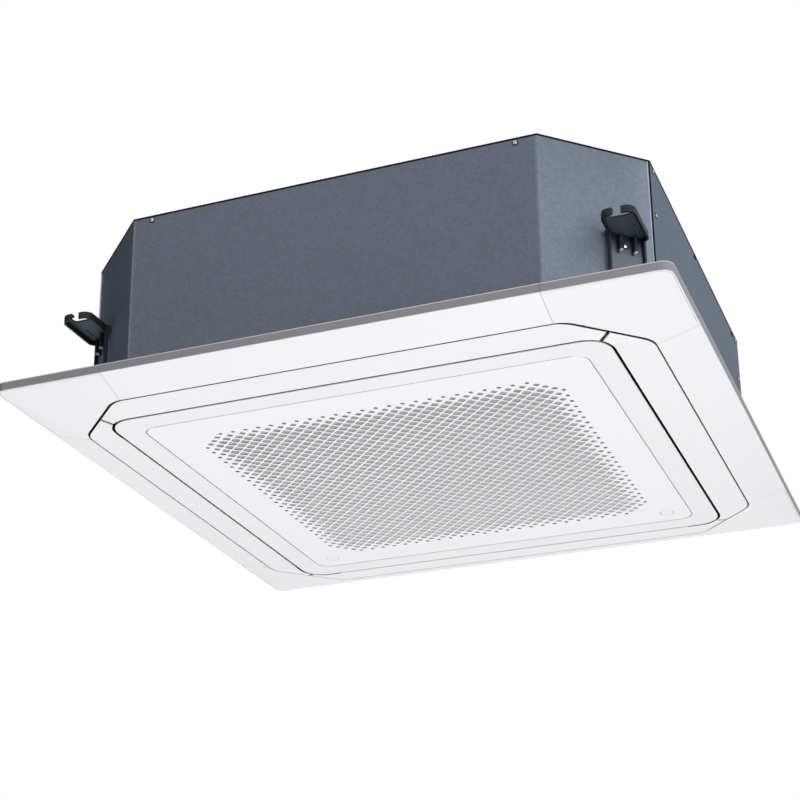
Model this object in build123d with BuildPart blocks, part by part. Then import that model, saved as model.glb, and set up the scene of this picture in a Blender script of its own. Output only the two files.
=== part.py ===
from build123d import *
from math import sqrt, radians, degrees, sin, cos, tan, atan2
import os

# Four-way ceiling cassette air conditioner, in millimetres, +Z up.
# The origin is on the vertical centre line, at the level of the lowest face (the grille's underside).
# X runs along the front edge; the front side faces -Y and the right side faces +X.
# An octagon here has a half width across its flats and a reach, the sum |x| + |y| on its chamfers.

ROOT2 = sqrt(2)

# ---- driving dimensions: decoration panel ----
panel_side = 950.0          # square panel across
panel_depth = 33.5          # grille face up to the ceiling
panel_corner_r = 16.0
lip_depth = 12.1            # upright rim round the panel
lip_wall = 2.5
facet_reach = 947.0         # top of the corner facets, just outside the rounded corner
skin = 3.0                  # wall of the panel moulding
duct_half = 416.0           # outer gap line of the air outlets
duct_reach = 739.0
duct_corner_r = 40.0
duct_level = 5.1            # height of that line above the grille face
duct_top_half = 402.0       # the outlet narrows towards the body
duct_wall_reach = 745.0     # the corner walls are upright and stand back from the vane tips
duct_top_r = 30.0
outlet_half_length = 280.0  # outlet opening between the corner bridges
bridge_wall = 3.5
ring_half = 363.8           # inner gap line, between the vanes and the fixed ring
ring_reach = 704.0
ring_corner_r = 38.0
ring_skin = 2.0
ring_wall = 3.0
ring_wall_setback = 5.8     # leaves room for the vane's inner edge as it swings
cover_seam = 309.0          # seam between the frame and each corner cover
seam_gap = 0.4
ledge_wall = 3.0            # plate under each corner cover, which carries the panel screw
ledge_drop = 4.5            # below the ceiling level
post_r = 3.0                # posts under each corner cover

# ---- vanes ----
vane_wall = 2.2
vane_gap = 2.2              # between a vane's outer edge and the outlet line
ring_gap = 4.0              # between the ring and a vane's inner edge
mitre_gap = 5.5             # gap between two vanes, square to the diagonal
vane_pivot_y = 380.0
vane_pivot_z = 10.0
vane_pin_r = 2.5
vane_ear_wall = 3.2
vane_rib_height = 5.0
vane_rib_wall = 3.0
arm_wall = 7.0
arm_half_width = 5.5
side_gap = 0.5              # between a swinging piece and its neighbour
pin_gap = 0.05              # running clearance of the pins, radial
vane_motor_r = 12.0
vane_motor_length = 15.0
vane_motor_offset = (4.2, 6.8)   # the motor's middle lies outboard of and above its shaft
vane_pin_grip = 5.0         # pin inside the motor's output

# ---- intake grille ----
grille_half = 325.0
grille_corner_r = 22.0
grille_gap = 1.2
grille_skin = 2.5
grille_rim_inset = 5.5
grille_rim_wall = 2.5
grille_rim_height = 12.0
hole_pitch = 52.4           # diamonds on two interleaved square grids
hole_rows = 11
hole_web = 8.0
hinge_y = 303.0
hinge_z = 5.5
hinge_x = 220.0
hinge_pin_r = 1.4
hinge_hub_r = 2.6
hinge_hub_wall = 6.0
hinge_ear_wall = 3.0
hinge_arm_z = 28.2
hinge_arm_wall = 3.5
opening_wall = 2.5          # upright wall round the grille opening
opening_setback = 7.0
opening_height = 31.7
latch_x = 289.0
latch_y = 288.0
latch_r = 10.3
latch_gap = 0.3
latch_travel = 3.0
latch_stem_r = 3.5
latch_head_r = 5.0
latch_height = 20.0
filter_half = 271.0
filter_level = 5.0
filter_wall = 4.0

# ---- casing ----
body_side = 840.0
body_reach = 718.5
body_height = 246.0
seal_depth = 4.0
sheet = 1.2
sheet_seam = 0.2
flange_width = 22.0
liner_wall = 18.0
liner_gap = 0.4
top_flange = 15.0
bead_height = 2.5
screw_head_r = 3.6
screw_head = 2.2
screw_shank_r = 1.9
front_screw_x = 269.0
side_screw_y = 280.0
low_screw_z = 208.0
top_screw_drop = 7.5

# ---- hangers ----
hanger_shift = 38.0         # along the chamfer, towards the side faces
hanger_width = 56.0
hanger_plate = 3.0
hanger_flange = 9.0
hanger_low_z = 41.0
hanger_top_z = 160.0
hook_width = 46.0
hook_tip_y = 406.0
hook_back_y = 338.0
slot_mouth = 11.0
slot_width = 26.0
slot_depth = 15.0
horn_depth = 8.0
hook_edge = 7.0
hook_corner_r = 13.0        # the horns' outer corners
hook_heel_r = 5.0           # corner beside the channel
slot_corner_r = 4.0
bead_length = 30.0          # groove pressed down into the hook plate
bead_width = 4.0
bead_drop = 1.0
claw_width = 4.0
claw_height = 26.0
foot_width = 34.0
foot_length = 38.0
foot_hole_reach = 26.0
panel_screw_r = 2.4
panel_head_r = 4.8
panel_head = 4.0

# ---- fan and motor ----
fan_r = 236.0
fan_top_z = 240.0
fan_low_z = 90.0
fan_inlet_r = 184.0
fan_wall = 2.5
blade_count = 7
blade_inner_r = 150.0
blade_wall = 5.0
hub_r = 22.0
hub_low_z = 188.0
shaft_r = 6.0
motor_r = 70.0
motor_low_z = 218.0
motor_height = 50.0
bush_r = 10.0
bush_circle_r = 84.0
bolt_r = 3.0
bolt_gap = 0.2
mouth_r = 178.0
mouth_wall = 1.5
mouth_flare = 38.0
mouth_plate_half = 300.0
mouth_level = 62.0
mouth_overlap = 6.0         # depth of the bell mouth inside the fan's inlet

# ---- heat exchanger and drain ----
coil_inner_half = 262.0
coil_thickness = 44.0
coil_inner_r = 46.0
coil_seat = 0.3             # the coil stands this far above the trough
coil_top_gap = 1.0
coil_end = 195.0            # the coil's two ends stop this far from the middle
end_plate = 1.5
bend_r = 8.0
bend_tube_r = 3.5
bend_count = 4
pan_rim = 12.0
pan_top_z = 92.0
trough_floor_z = 70.0
trough_margin = 5.0
pan_opening_r = 219.0
pump_x = 262.0
pump_r = 28.0
pump_suction_r = 20.0
pump_low_z = 72.0
pump_body_z = 120.0
pump_top_z = 200.0
hose_r = 8.0
socket_r = 16.0
socket_z = 232.0
socket_reach = 42.0
float_x = 284.0
float_y = 224.0
float_r = 9.0
float_height = 14.0
float_stem_r = 2.4
float_travel = 12.0
gas_r = 7.94
liquid_r = 4.76
pipe_reach = 42.0
step = 0.5                  # each outer end is turned down from the tube behind it
neck = 1.0
gas_x = 224.0
gas_z = 150.0
liquid_x = 262.0
liquid_z = 118.0

# ---- electrical ----
box_width = 300.0
box_depth = 60.0
box_height = 31.0
box_y = 234.0
bush_bore_r = 11.0
bush_y = 60.0
bush_z = 120.0

# ---- sizes that follow ----
panel_half = panel_side / 2
lip_level = panel_depth - lip_depth
body_half = body_side / 2
body_low = panel_depth + seal_depth
body_top = body_low + body_height
chamfer_out = body_reach / ROOT2              # chamfer face, from the middle
flange_top = body_low + sheet
liner_low = flange_top + pan_rim
liner_top = body_top - sheet - liner_gap
slab_low = liner_top - liner_wall
duct_inner = ring_half - ring_wall_setback
opening_half = grille_half + grille_gap
opening_wall_half = grille_half + opening_setback
ledge_low = panel_depth - ledge_drop - ledge_wall
arm_x = outlet_half_length + 3.7              # inner face of each vane arm
coil_outer_half = coil_inner_half + coil_thickness
coil_outer_r = coil_inner_r + coil_thickness
coil_top_z = slab_low - coil_top_gap
coil_low_z = trough_floor_z + coil_seat
pieces = []


def octagon(half, reach, radius=0.0):
    """Octagon across its flats 2 * half, with |x| + |y| = reach on its chamfers and rounded corners."""
    with BuildSketch(mode=Mode.PRIVATE) as outline:
        Rectangle(2 * half, 2 * half)
        chamfer(outline.vertices(), 2 * half - reach)
        if radius > 0:
            fillet(outline.vertices(), radius)
    return outline.sketch


def rounded_square(half, radius):
    """Square of side 2 * half with rounded corners."""
    with BuildSketch(mode=Mode.PRIVATE) as outline:
        RectangleRounded(2 * half, 2 * half, radius)
    return outline.sketch


def prism(outline, low, high):
    """The outline raised from one level to another."""
    with BuildPart(mode=Mode.PRIVATE) as block:
        with BuildSketch(Plane.XY.offset(low)):
            add(outline)
        extrude(amount=high - low)
    return block.part


def tube_wall(outer, inner, low, high):
    """The wall between two outlines."""
    with BuildPart(mode=Mode.PRIVATE) as block:
        with BuildSketch(Plane.XY.offset(low)):
            add(outer)
            add(inner, mode=Mode.SUBTRACT)
        extrude(amount=high - low)
    return block.part


def faceted(low, high):
    """Block whose four sides and four corners slope between two levels, each (z, half, reach)."""
    with BuildPart(mode=Mode.PRIVATE) as block:
        with BuildSketch(Plane.XY.offset(low[0])):
            Rectangle(2 * low[1], 2 * low[1])
        with BuildSketch(Plane.XY.offset(high[0])):
            Rectangle(2 * high[1], 2 * high[1])
        loft(ruled=True)
    with BuildPart(mode=Mode.PRIVATE) as corners:
        with BuildSketch(Plane.XY.offset(low[0])):
            Rectangle(ROOT2 * low[2], ROOT2 * low[2], rotation=45)
        with BuildSketch(Plane.XY.offset(high[0])):
            Rectangle(ROOT2 * high[2], ROOT2 * high[2], rotation=45)
        loft(ruled=True)
    return block.part & corners.part


def quarter_turns(solid):
    """The solid at each of the four sides."""
    return [solid.rotate(Axis.Z, angle) for angle in (0, 90, 180, 270)]


def keep(name, builder):
    """Label a finished piece and put it in the list of pieces to write."""
    builder.part.label = name
    pieces.append(builder.part)


# ================= panel frame =================
# The outer skin: a lip, four slopes and four corner facets down to the outlet line.
slope_low = (duct_level, duct_half, duct_reach)
slope_high = (lip_level, panel_half, facet_reach)
inner_low = (duct_level + skin, duct_half, duct_reach)
inner_high = (lip_level + skin, panel_half, facet_reach)
slopes = faceted(slope_low, slope_high)
slopes_inside = faceted(inner_low, inner_high)
panel_square = rounded_square(panel_half, panel_corner_r)
lip_inside = rounded_square(panel_half - lip_wall, panel_corner_r - lip_wall)
duct_line = octagon(duct_half, duct_reach, duct_corner_r)
duct_low_line = octagon(duct_half, duct_wall_reach, duct_corner_r)
duct_top_line = octagon(duct_top_half, duct_wall_reach, duct_top_r)

with BuildPart() as panel_outer:
    add(slopes)
    with BuildSketch(Plane.XY.offset(lip_level)):
        Rectangle(panel_side, panel_side)
    extrude(amount=lip_depth)
    add(prism(panel_square, 0, panel_depth), mode=Mode.INTERSECT)

with BuildPart() as panel_inside:
    add(slopes_inside)
    with BuildSketch(Plane.XY.offset(lip_level + skin)):
        Rectangle(panel_side, panel_side)
    extrude(amount=lip_depth)
    add(prism(lip_inside, 0, panel_depth + skin), mode=Mode.INTERSECT)

# The outlet's outer wall leans inwards along the sides as it rises to the body.
duct_top_outer = octagon(duct_top_half + ring_wall, duct_wall_reach + ring_wall * ROOT2,
                         duct_top_r + ring_wall)
wall_rise = panel_depth - duct_level - skin
with BuildPart() as duct_outside:
    with BuildSketch(Plane.XY.offset(duct_level + skin)):
        add(octagon(duct_half + ring_wall, duct_wall_reach + ring_wall * ROOT2, duct_corner_r + ring_wall))
    with BuildSketch(Plane.XY.offset(panel_depth)):
        add(duct_top_outer)
    loft(ruled=True)

with BuildPart() as duct_inside:
    with BuildSketch(Plane.XY.offset(duct_level + skin)):
        add(duct_low_line)
    with BuildSketch(Plane.XY.offset(panel_depth)):
        add(duct_top_line)
    loft(ruled=True)

ledge_outline = Rectangle(panel_side, panel_side) - Rectangle(2 * cover_seam, panel_side)
ledge_outline = ledge_outline - Rectangle(panel_side, 2 * cover_seam)
cover_zone = ledge_outline & lip_inside

# Vane arm: a strap that hangs from the corner bridge and ends in a round hub.
arm_mid = arm_x + arm_wall / 2
with BuildPart() as vane_arms:
    for end in (-1, 1):
        with Locations((end * arm_mid, -vane_pivot_y, (vane_pivot_z + panel_depth) / 2)):
            Box(arm_wall, 2 * arm_half_width, panel_depth - vane_pivot_z)
        with Locations((end * arm_mid, -vane_pivot_y, vane_pivot_z)):
            Cylinder(arm_half_width, arm_wall, rotation=(0, 90, 0))
            Cylinder(vane_pin_r + pin_gap, arm_wall + 2, rotation=(0, 90, 0), mode=Mode.SUBTRACT)

# Grille hinge arm: reaches over the grille's front edge and down to the pin.
with BuildPart() as hinge_arms:
    arm_reach = opening_wall_half + opening_wall - hinge_y + hinge_hub_r
    for end in (-1, 1):
        with Locations((end * hinge_x, -hinge_y + hinge_hub_r - arm_reach / 2,
                        hinge_arm_z + hinge_arm_wall / 2)):
            Box(hinge_hub_wall, arm_reach, hinge_arm_wall)
        with Locations((end * hinge_x, -hinge_y, (hinge_z + hinge_arm_z) / 2)):
            Box(hinge_hub_wall, 2 * hinge_hub_r, hinge_arm_z - hinge_z)
        with Locations((end * hinge_x, -hinge_y, hinge_z)):
            Cylinder(hinge_hub_r, hinge_hub_wall, rotation=(0, 90, 0))
            Cylinder(hinge_pin_r + pin_gap, hinge_hub_wall + 2, rotation=(0, 90, 0), mode=Mode.SUBTRACT)

# Latch cup: a short tube over each latch stem, on an arm from the opening's wall.
cup_r = latch_head_r + 1.0
cup_top = latch_height + latch_travel + 3.0
with BuildPart() as latch_cups:
    for end in (-1, 1):
        with Locations((end * (latch_x + opening_wall_half) / 2, latch_y, cup_top - 1)):
            Box(opening_wall_half - latch_x + 2, 2 * cup_r, 2)
        with Locations((end * latch_x, latch_y, cup_top - 5)):
            Cylinder(cup_r + 2, 10)
            with Locations((0, 0, -2)):
                Cylinder(cup_r, 10, mode=Mode.SUBTRACT)

ring_line = rounded_square(ring_half - ring_gap / 2, ring_corner_r - ring_gap / 2)
opening_line = rounded_square(opening_half, grille_corner_r + grille_gap)
ring_wall_outer = rounded_square(duct_inner, ring_corner_r - ring_wall_setback)
ring_wall_inner = rounded_square(duct_inner - ring_wall, ring_corner_r - ring_wall_setback - ring_wall)
opening_wall_line = rounded_square(opening_wall_half, grille_corner_r + opening_setback)
opening_wall_outer = rounded_square(opening_wall_half + opening_wall,
                                    grille_corner_r + opening_setback + opening_wall)
bridge_low = panel_depth - bridge_wall
bridge_outline = duct_top_outer - Rectangle(2 * outlet_half_length, panel_side)
bridge_outline = bridge_outline - Rectangle(panel_side, 2 * outlet_half_length)
bridge_outline = bridge_outline - opening_wall_line
with BuildPart() as ring_ribs:
    rib_reach = (duct_inner + opening_wall_half) / 2
    for rib_x in (-250, -150, -50, 50, 150, 250):
        with Locations((rib_x, -rib_reach, (ring_skin + opening_height) / 2)):
            Box(2, duct_inner - opening_wall_half - 3, opening_height - ring_skin + 0.5)

# Room for the corner covers, a little thicker than the covers themselves.
with BuildPart() as cover_room:
    add(panel_outer.part)
    add(panel_inside.part.moved(Location((0, 0, seam_gap))), mode=Mode.SUBTRACT)
    add(prism(cover_zone - duct_line, 0, panel_depth), mode=Mode.INTERSECT)

screw_spot = (body_reach / 2 + hanger_shift / ROOT2 + foot_hole_reach / ROOT2,
              body_reach / 2 - hanger_shift / ROOT2 + foot_hole_reach / ROOT2)
corner_signs = [(-1, -1), (1, -1), (-1, 1), (1, 1)]
panel_screw_spots = [(sx * screw_spot[0], sy * screw_spot[1]) for sx, sy in corner_signs]

with BuildPart() as panel_frame:
    add(panel_outer.part)
    add(panel_inside.part, mode=Mode.SUBTRACT)
    add(prism(cover_zone, ledge_low, ledge_low + ledge_wall))
    with Locations(*[(x, y, (ledge_low + panel_depth) / 2) for x, y in panel_screw_spots]):
        Cylinder(panel_head_r + 1.5, panel_depth - ledge_low)
    add(duct_outside.part)
    add(cover_room.part, mode=Mode.SUBTRACT)
    add(duct_inside.part, mode=Mode.SUBTRACT)
    add(prism(duct_line, 0, duct_level + skin), mode=Mode.SUBTRACT)
    add(prism(bridge_outline, bridge_low, panel_depth), mode=Mode.SUBTRACT)
    with Locations(*[(x, y, panel_depth / 2) for x, y in panel_screw_spots]):
        Cylinder(panel_screw_r + 0.2, 2 * panel_depth, mode=Mode.SUBTRACT)
    with Locations(*[(x, y, ledge_low - panel_head) for x, y in panel_screw_spots]):
        Cylinder(panel_head_r + seam_gap, 2 * panel_head, mode=Mode.SUBTRACT)
keep("panel_frame", panel_frame)

# Foam blocks fill the hollow between the lip and the outlet wall along each side.
foam_clear = 0.5
foam_out = panel_half - lip_wall - foam_clear
foam_in = duct_half + ring_wall + foam_clear
foam_top = panel_depth - foam_clear
with BuildPart() as front_foam:
    add(slopes_inside)
    with Locations((0, 0, (inner_high[0] + foam_top) / 2)):
        Box(panel_side, panel_side, foam_top - inner_high[0])
    with Locations((0, -(foam_out + foam_in) / 2, foam_top / 2)):
        Box(2 * (cover_seam - post_r), foam_out - foam_in, foam_top, mode=Mode.INTERSECT)
with BuildPart() as panel_insulation:
    add(quarter_turns(front_foam.part))
keep("panel_insulation", panel_insulation)

# The fixed ring round the grille: corner bridges carry it over the outlets, and the vanes hang from them.
with BuildPart() as intake_surround:
    add(prism(bridge_outline, bridge_low, panel_depth))
    add(tube_wall(ring_line, opening_line, 0, ring_skin))
    add(tube_wall(ring_wall_outer, ring_wall_inner, 0, panel_depth))
    add(tube_wall(opening_wall_outer, opening_wall_line, 0, opening_height))
    add(quarter_turns(ring_ribs.part))
    add(quarter_turns(vane_arms.part))
    add(hinge_arms.part)
    add(latch_cups.part)
keep("intake_surround", intake_surround)

# ================= corner covers =================
# Each cover is the missing corner of the sloped skin, with three posts that hold it to the ledge.
inset = seam_gap / 2
cover_limit = rounded_square(panel_half - lip_wall - seam_gap, panel_corner_r - lip_wall)
seam_cross = Rectangle(2 * (cover_seam + inset), panel_side) + Rectangle(panel_side, 2 * (cover_seam + inset))
cover_outline = cover_limit - seam_cross - duct_line
front_right_zone = Pos(panel_half, -panel_half) * Rectangle(panel_side, panel_side)
post_gap = 0.3
post_spots = [(340, -446), (446, -340), (452, -452)]
with BuildPart() as corner_cover_front_right:
    add(panel_outer.part)
    add(panel_inside.part, mode=Mode.SUBTRACT)
    with Locations(*[(x, y, (ledge_low - post_gap) / 2) for x, y in post_spots]):
        Cylinder(post_r, ledge_low - post_gap)
    add(panel_outer.part, mode=Mode.INTERSECT)
    add(prism(cover_outline & front_right_zone, 0, ledge_low), mode=Mode.INTERSECT)
keep("corner_cover_front_right", corner_cover_front_right)

with BuildPart() as corner_cover_rear_right:
    add(corner_cover_front_right.part.mirror(Plane.XZ))
keep("corner_cover_rear_right", corner_cover_rear_right)

with BuildPart() as corner_cover_front_left:
    add(corner_cover_front_right.part.mirror(Plane.YZ))
keep("corner_cover_front_left", corner_cover_front_left)

with BuildPart() as corner_cover_rear_left:
    add(corner_cover_rear_right.part.mirror(Plane.YZ))
keep("corner_cover_rear_left", corner_cover_rear_left)

# ================= panel screws and seal =================
with BuildPart() as panel_screws:
    with Locations(*[(x, y, ledge_low - panel_head / 2) for x, y in panel_screw_spots]):
        Cylinder(panel_head_r, panel_head)
    with Locations(*[(x, y, (ledge_low + hanger_low_z + hanger_plate + 2) / 2) for x, y in panel_screw_spots]):
        Cylinder(panel_screw_r, hanger_low_z + hanger_plate + 2 - ledge_low)
    # a collar on each screw keeps the panel at its distance from the hanger's foot
    with Locations(*[(x, y, (panel_depth + hanger_low_z) / 2) for x, y in panel_screw_spots]):
        Cylinder(panel_head_r + 1.5, hanger_low_z - panel_depth)
keep("panel_screws", panel_screws)

with BuildPart() as panel_seal:
    add(tube_wall(octagon(duct_top_half + 8, body_reach - 8, duct_top_r),
                  octagon(duct_top_half - 3, body_reach - 20, duct_top_r), panel_depth, body_low))
keep("panel_seal", panel_seal)

# ================= vanes =================
# Each vane is a slice of the sloped band between the ring and the outlet line, cut on the diagonals.
band_rise = duct_level + 8
band_run = duct_half - ring_half
band_outer = ring_half + band_run * band_rise / duct_level
band_reach = ring_reach + (duct_reach - ring_reach) * band_rise / duct_level
band = faceted((0, ring_half, ring_reach), (band_rise, band_outer, band_reach))
mitre = mitre_gap / ROOT2
# the gap is half as wide again across the outlet's corners
vane_reach = duct_reach - 1.5 * vane_gap * ROOT2
vane_outline = octagon(duct_half - vane_gap, vane_reach, duct_corner_r - vane_gap)
vane_outline = vane_outline - rounded_square(ring_half + ring_gap / 2, ring_corner_r + ring_gap / 2)
front_wedge = make_face(Polyline((0, -mitre), (panel_half, -panel_half - mitre),
                                 (-panel_half, -panel_half - mitre), close=True))
vane_face_z = duct_level * (vane_pivot_y - ring_half) / band_run
ear_mid = outlet_half_length + vane_ear_wall / 2
pin_start = outlet_half_length + vane_ear_wall
with BuildPart() as vane_front:
    add(band)
    add(band.moved(Location((0, 0, vane_wall))), mode=Mode.SUBTRACT)
    add(prism(vane_outline & front_wedge, 0, band_rise - vane_wall), mode=Mode.INTERSECT)
    with Locations((0, -vane_pivot_y, vane_face_z + (vane_wall + vane_rib_height) / 2)):
        Box(2 * outlet_half_length, vane_rib_wall, vane_rib_height + vane_wall - 1)
    for end, pin_length in ((-1, side_gap + arm_wall + 1), (1, side_gap + arm_wall + vane_pin_grip)):
        with Locations((end * ear_mid, -vane_pivot_y, (vane_face_z + vane_pivot_z) / 2 + 0.5)):
            Box(vane_ear_wall, 9, vane_pivot_z - vane_face_z - 1)
        with Locations((end * ear_mid, -vane_pivot_y, vane_pivot_z)):
            Cylinder(4.5, vane_ear_wall, rotation=(0, 90, 0))
        with Locations((end * (pin_start + pin_length / 2), -vane_pivot_y, vane_pivot_z)):
            Cylinder(vane_pin_r, pin_length, rotation=(0, 90, 0))
keep("vane_front", vane_front)

with BuildPart() as vane_right:
    add(vane_front.part.rotate(Axis.Z, 90))
keep("vane_right", vane_right)

with BuildPart() as vane_rear:
    add(vane_front.part.rotate(Axis.Z, 180))
keep("vane_rear", vane_rear)

with BuildPart() as vane_left:
    add(vane_front.part.rotate(Axis.Z, 270))
keep("vane_left", vane_left)

# Stepping motors: a flat can on the outer face of one arm, set off from its own shaft.
motor_x = arm_x + arm_wall
with BuildPart() as front_vane_motor:
    with Locations((motor_x + vane_motor_length / 2, -vane_pivot_y - vane_motor_offset[0],
                    vane_pivot_z + vane_motor_offset[1])):
        Cylinder(vane_motor_r, vane_motor_length, rotation=(0, 90, 0))
        with Locations((vane_motor_length / 2 + 2, 0, 2)):
            Box(4, 14, 12)
    with Locations((motor_x + vane_pin_grip / 2, -vane_pivot_y, vane_pivot_z)):
        Cylinder(vane_pin_r + pin_gap, vane_pin_grip + 2, rotation=(0, 90, 0), mode=Mode.SUBTRACT)
with BuildPart() as vane_motors:
    add(quarter_turns(front_vane_motor.part))
keep("vane_motors", vane_motors)

# ================= intake grille =================
grille_line = rounded_square(grille_half, grille_corner_r)
rim_outer = rounded_square(grille_half - grille_rim_inset, grille_corner_r - grille_rim_inset)
rim_inner = rounded_square(grille_half - grille_rim_inset - grille_rim_wall,
                           grille_corner_r - grille_rim_inset - grille_rim_wall)
diamond = hole_pitch / ROOT2 - hole_web
ear_x = hinge_hub_wall / 2 + side_gap + hinge_ear_wall / 2
with BuildPart() as grille_panel:
    add(prism(grille_line, 0, grille_skin))
    add(tube_wall(rim_outer, rim_inner, grille_skin, grille_rim_height))
    for end in (-1, 1):
        # hinge notch in the rim, and the two ears that hold the pin
        with Locations((end * hinge_x, -grille_half + grille_rim_inset, grille_skin + grille_rim_height / 2)):
            Box(2 * ear_x + 12, 12, grille_rim_height, mode=Mode.SUBTRACT)
        for side in (-1, 1):
            with Locations((end * hinge_x + side * ear_x, -hinge_y, (grille_skin + hinge_z) / 2)):
                Box(hinge_ear_wall, 2 * hinge_hub_r, hinge_z - grille_skin)
            with Locations((end * hinge_x + side * ear_x, -hinge_y, hinge_z)):
                Cylinder(hinge_hub_r, hinge_ear_wall, rotation=(0, 90, 0))
                Cylinder(hinge_pin_r + 0.02, hinge_ear_wall + 2, rotation=(0, 90, 0), mode=Mode.SUBTRACT)
        # latch boss, bored for the knob below and for its stem above
        with Locations((end * latch_x, latch_y, grille_skin + 3.25)):
            Cylinder(latch_r + latch_gap + 2.4, 6.5)
        with Locations((end * latch_x, latch_y, 0)):
            Cylinder(latch_r + latch_gap, 14, mode=Mode.SUBTRACT)
            Cylinder(latch_stem_r + latch_gap, 40, mode=Mode.SUBTRACT)
    # filter clips, two on each side
    for spot in (-150, 150):
        with Locations((spot, filter_half + 3, grille_skin + 4), (spot, -filter_half - 3, grille_skin + 4),
                       (filter_half + 3, spot, grille_skin + 4), (-filter_half - 3, spot, grille_skin + 4)):
            Box(5, 5, 8)
    with BuildSketch():
        with GridLocations(hole_pitch, hole_pitch, hole_rows, hole_rows):
            Rectangle(diamond, diamond, rotation=45)
        with GridLocations(hole_pitch, hole_pitch, hole_rows - 1, hole_rows - 1):
            Rectangle(diamond, diamond, rotation=45)
    extrude(amount=grille_skin, mode=Mode.SUBTRACT)
keep("grille_panel", grille_panel)

with BuildPart() as grille_hinge_pins:
    with Locations((-hinge_x, -hinge_y, hinge_z), (hinge_x, -hinge_y, hinge_z)):
        Cylinder(hinge_pin_r, 2 * ear_x + hinge_ear_wall, rotation=(0, 90, 0))
keep("grille_hinge_pins", grille_hinge_pins)

# The latch is a flush push knob with a stem, a keeper above its boss and a grooved head.
with BuildPart() as grille_latch_right:
    with Locations((latch_x, latch_y, 0)):
        Cylinder(latch_r, 3.2, align=(Align.CENTER, Align.CENTER, Align.MIN))
        Cylinder(latch_stem_r, latch_height, align=(Align.CENTER, Align.CENTER, Align.MIN))
    with Locations((latch_x, latch_y, 9.3)):
        Cylinder(latch_head_r, 1.5, align=(Align.CENTER, Align.CENTER, Align.MIN))
    with Locations((latch_x, latch_y, latch_height - 4)):
        Cylinder(latch_head_r, 4, align=(Align.CENTER, Align.CENTER, Align.MIN))
keep("grille_latch_right", grille_latch_right)

with BuildPart() as grille_latch_left:
    add(grille_latch_right.part.mirror(Plane.YZ))
keep("grille_latch_left", grille_latch_left)

# The filter is a framed net on the back of the grille.
with BuildPart() as air_filter:
    add(tube_wall(rounded_square(filter_half, 14), rounded_square(filter_half - 9, 6),
                  filter_level, filter_level + filter_wall))
    with Locations((0, 0, filter_level + 0.5)):
        Box(2 * filter_half - 10, 2 * filter_half - 10, 1.0)
    with Locations((0, 0, filter_level + filter_wall / 2)):
        with GridLocations(1, 130, 1, 3):
            Box(2 * filter_half - 10, 4, filter_wall)
        with GridLocations(130, 1, 3, 1):
            Box(4, 2 * filter_half - 10, filter_wall)
keep("air_filter", air_filter)

# ================= casing =================
# Screw places: four on the front and rear faces, eight on the side faces.
top_screw_z = body_top - top_screw_drop
screw_shank = 5.0
front_spots = [(sx * front_screw_x, sy * body_half, top_screw_z, sy) for sx, sy in corner_signs]
side_spots = [(sx * body_half, sy * side_screw_y, z, sx)
              for sx, sy in corner_signs for z in (top_screw_z, low_screw_z)]
with BuildPart() as screw_holes:
    with Locations(*[(x, y, z) for x, y, z, out in front_spots]):
        Cylinder(screw_shank_r + 0.1, 12, rotation=(90, 0, 0))
    with Locations(*[(x, y, z) for x, y, z, out in side_spots]):
        Cylinder(screw_shank_r + 0.1, 12, rotation=(0, 90, 0))
lower_screw_z = (hanger_top_z + hanger_low_z) / 2 - 20
claw_z = hanger_top_z - hanger_plate - 16
chamfer_spot = (body_reach / 2 + hanger_shift / ROOT2, -body_reach / 2 + hanger_shift / ROOT2)
hanger_plane = Plane(origin=(chamfer_spot[0], chamfer_spot[1], 0), x_dir=(1, 1, 0), z_dir=(1, -1, 0))
with BuildPart() as one_hanger_holes:
    with BuildSketch(hanger_plane.offset(-8)):
        with Locations((0, lower_screw_z), (0, claw_z)):
            Circle(screw_shank_r + 0.1)
    extrude(amount=10)
right_holes = [one_hanger_holes.part, one_hanger_holes.part.mirror(Plane.XZ)]
hanger_holes = right_holes + [holes.mirror(Plane.YZ) for holes in right_holes]

body_line = octagon(body_half, body_reach)
body_inside = octagon(body_half - sheet, body_reach - sheet * ROOT2)
flange_line = octagon(body_half - flange_width, body_reach - flange_width * ROOT2)
sheet_corner = (body_reach - body_half, body_half)
with BuildPart() as sheet_seams:
    for side_x, side_y in (sheet_corner, sheet_corner[::-1]):
        for sx in (-1, 1):
            seam_angle = degrees(atan2(side_y, sx * side_x))
            with Locations(Location((0, 0, (body_low + body_top) / 2), (0, 0, seam_angle))):
                Box(2 * body_side, sheet_seam, body_height + 20)
# Eight walls, each with its flange; the sheets meet at fine seams on the edges of the chamfers.
with BuildPart() as casing_shell:
    add(tube_wall(body_line, body_inside, body_low, body_top - sheet))
    add(tube_wall(body_line, flange_line, body_low, flange_top))
    add(sheet_seams.part, mode=Mode.SUBTRACT)
    # ways through the walls for the two pipes, the drain socket and the wiring bush
    with Locations((-gas_x, body_half, gas_z)):
        Cylinder(gas_r + 3, 10, rotation=(90, 0, 0), mode=Mode.SUBTRACT)
    with Locations((-liquid_x, body_half, liquid_z)):
        Cylinder(liquid_r + 3, 10, rotation=(90, 0, 0), mode=Mode.SUBTRACT)
    with Locations((-body_half, pump_x, socket_z)):
        Cylinder(socket_r + 2 * step, 10, rotation=(0, 90, 0), mode=Mode.SUBTRACT)
    with Locations((-body_half, bush_y, bush_z)):
        Cylinder(bush_bore_r + 3, 10, rotation=(0, 90, 0), mode=Mode.SUBTRACT)
    add(screw_holes.part, mode=Mode.SUBTRACT)
    add(hanger_holes, mode=Mode.SUBTRACT)
keep("casing_shell", casing_shell)

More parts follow.
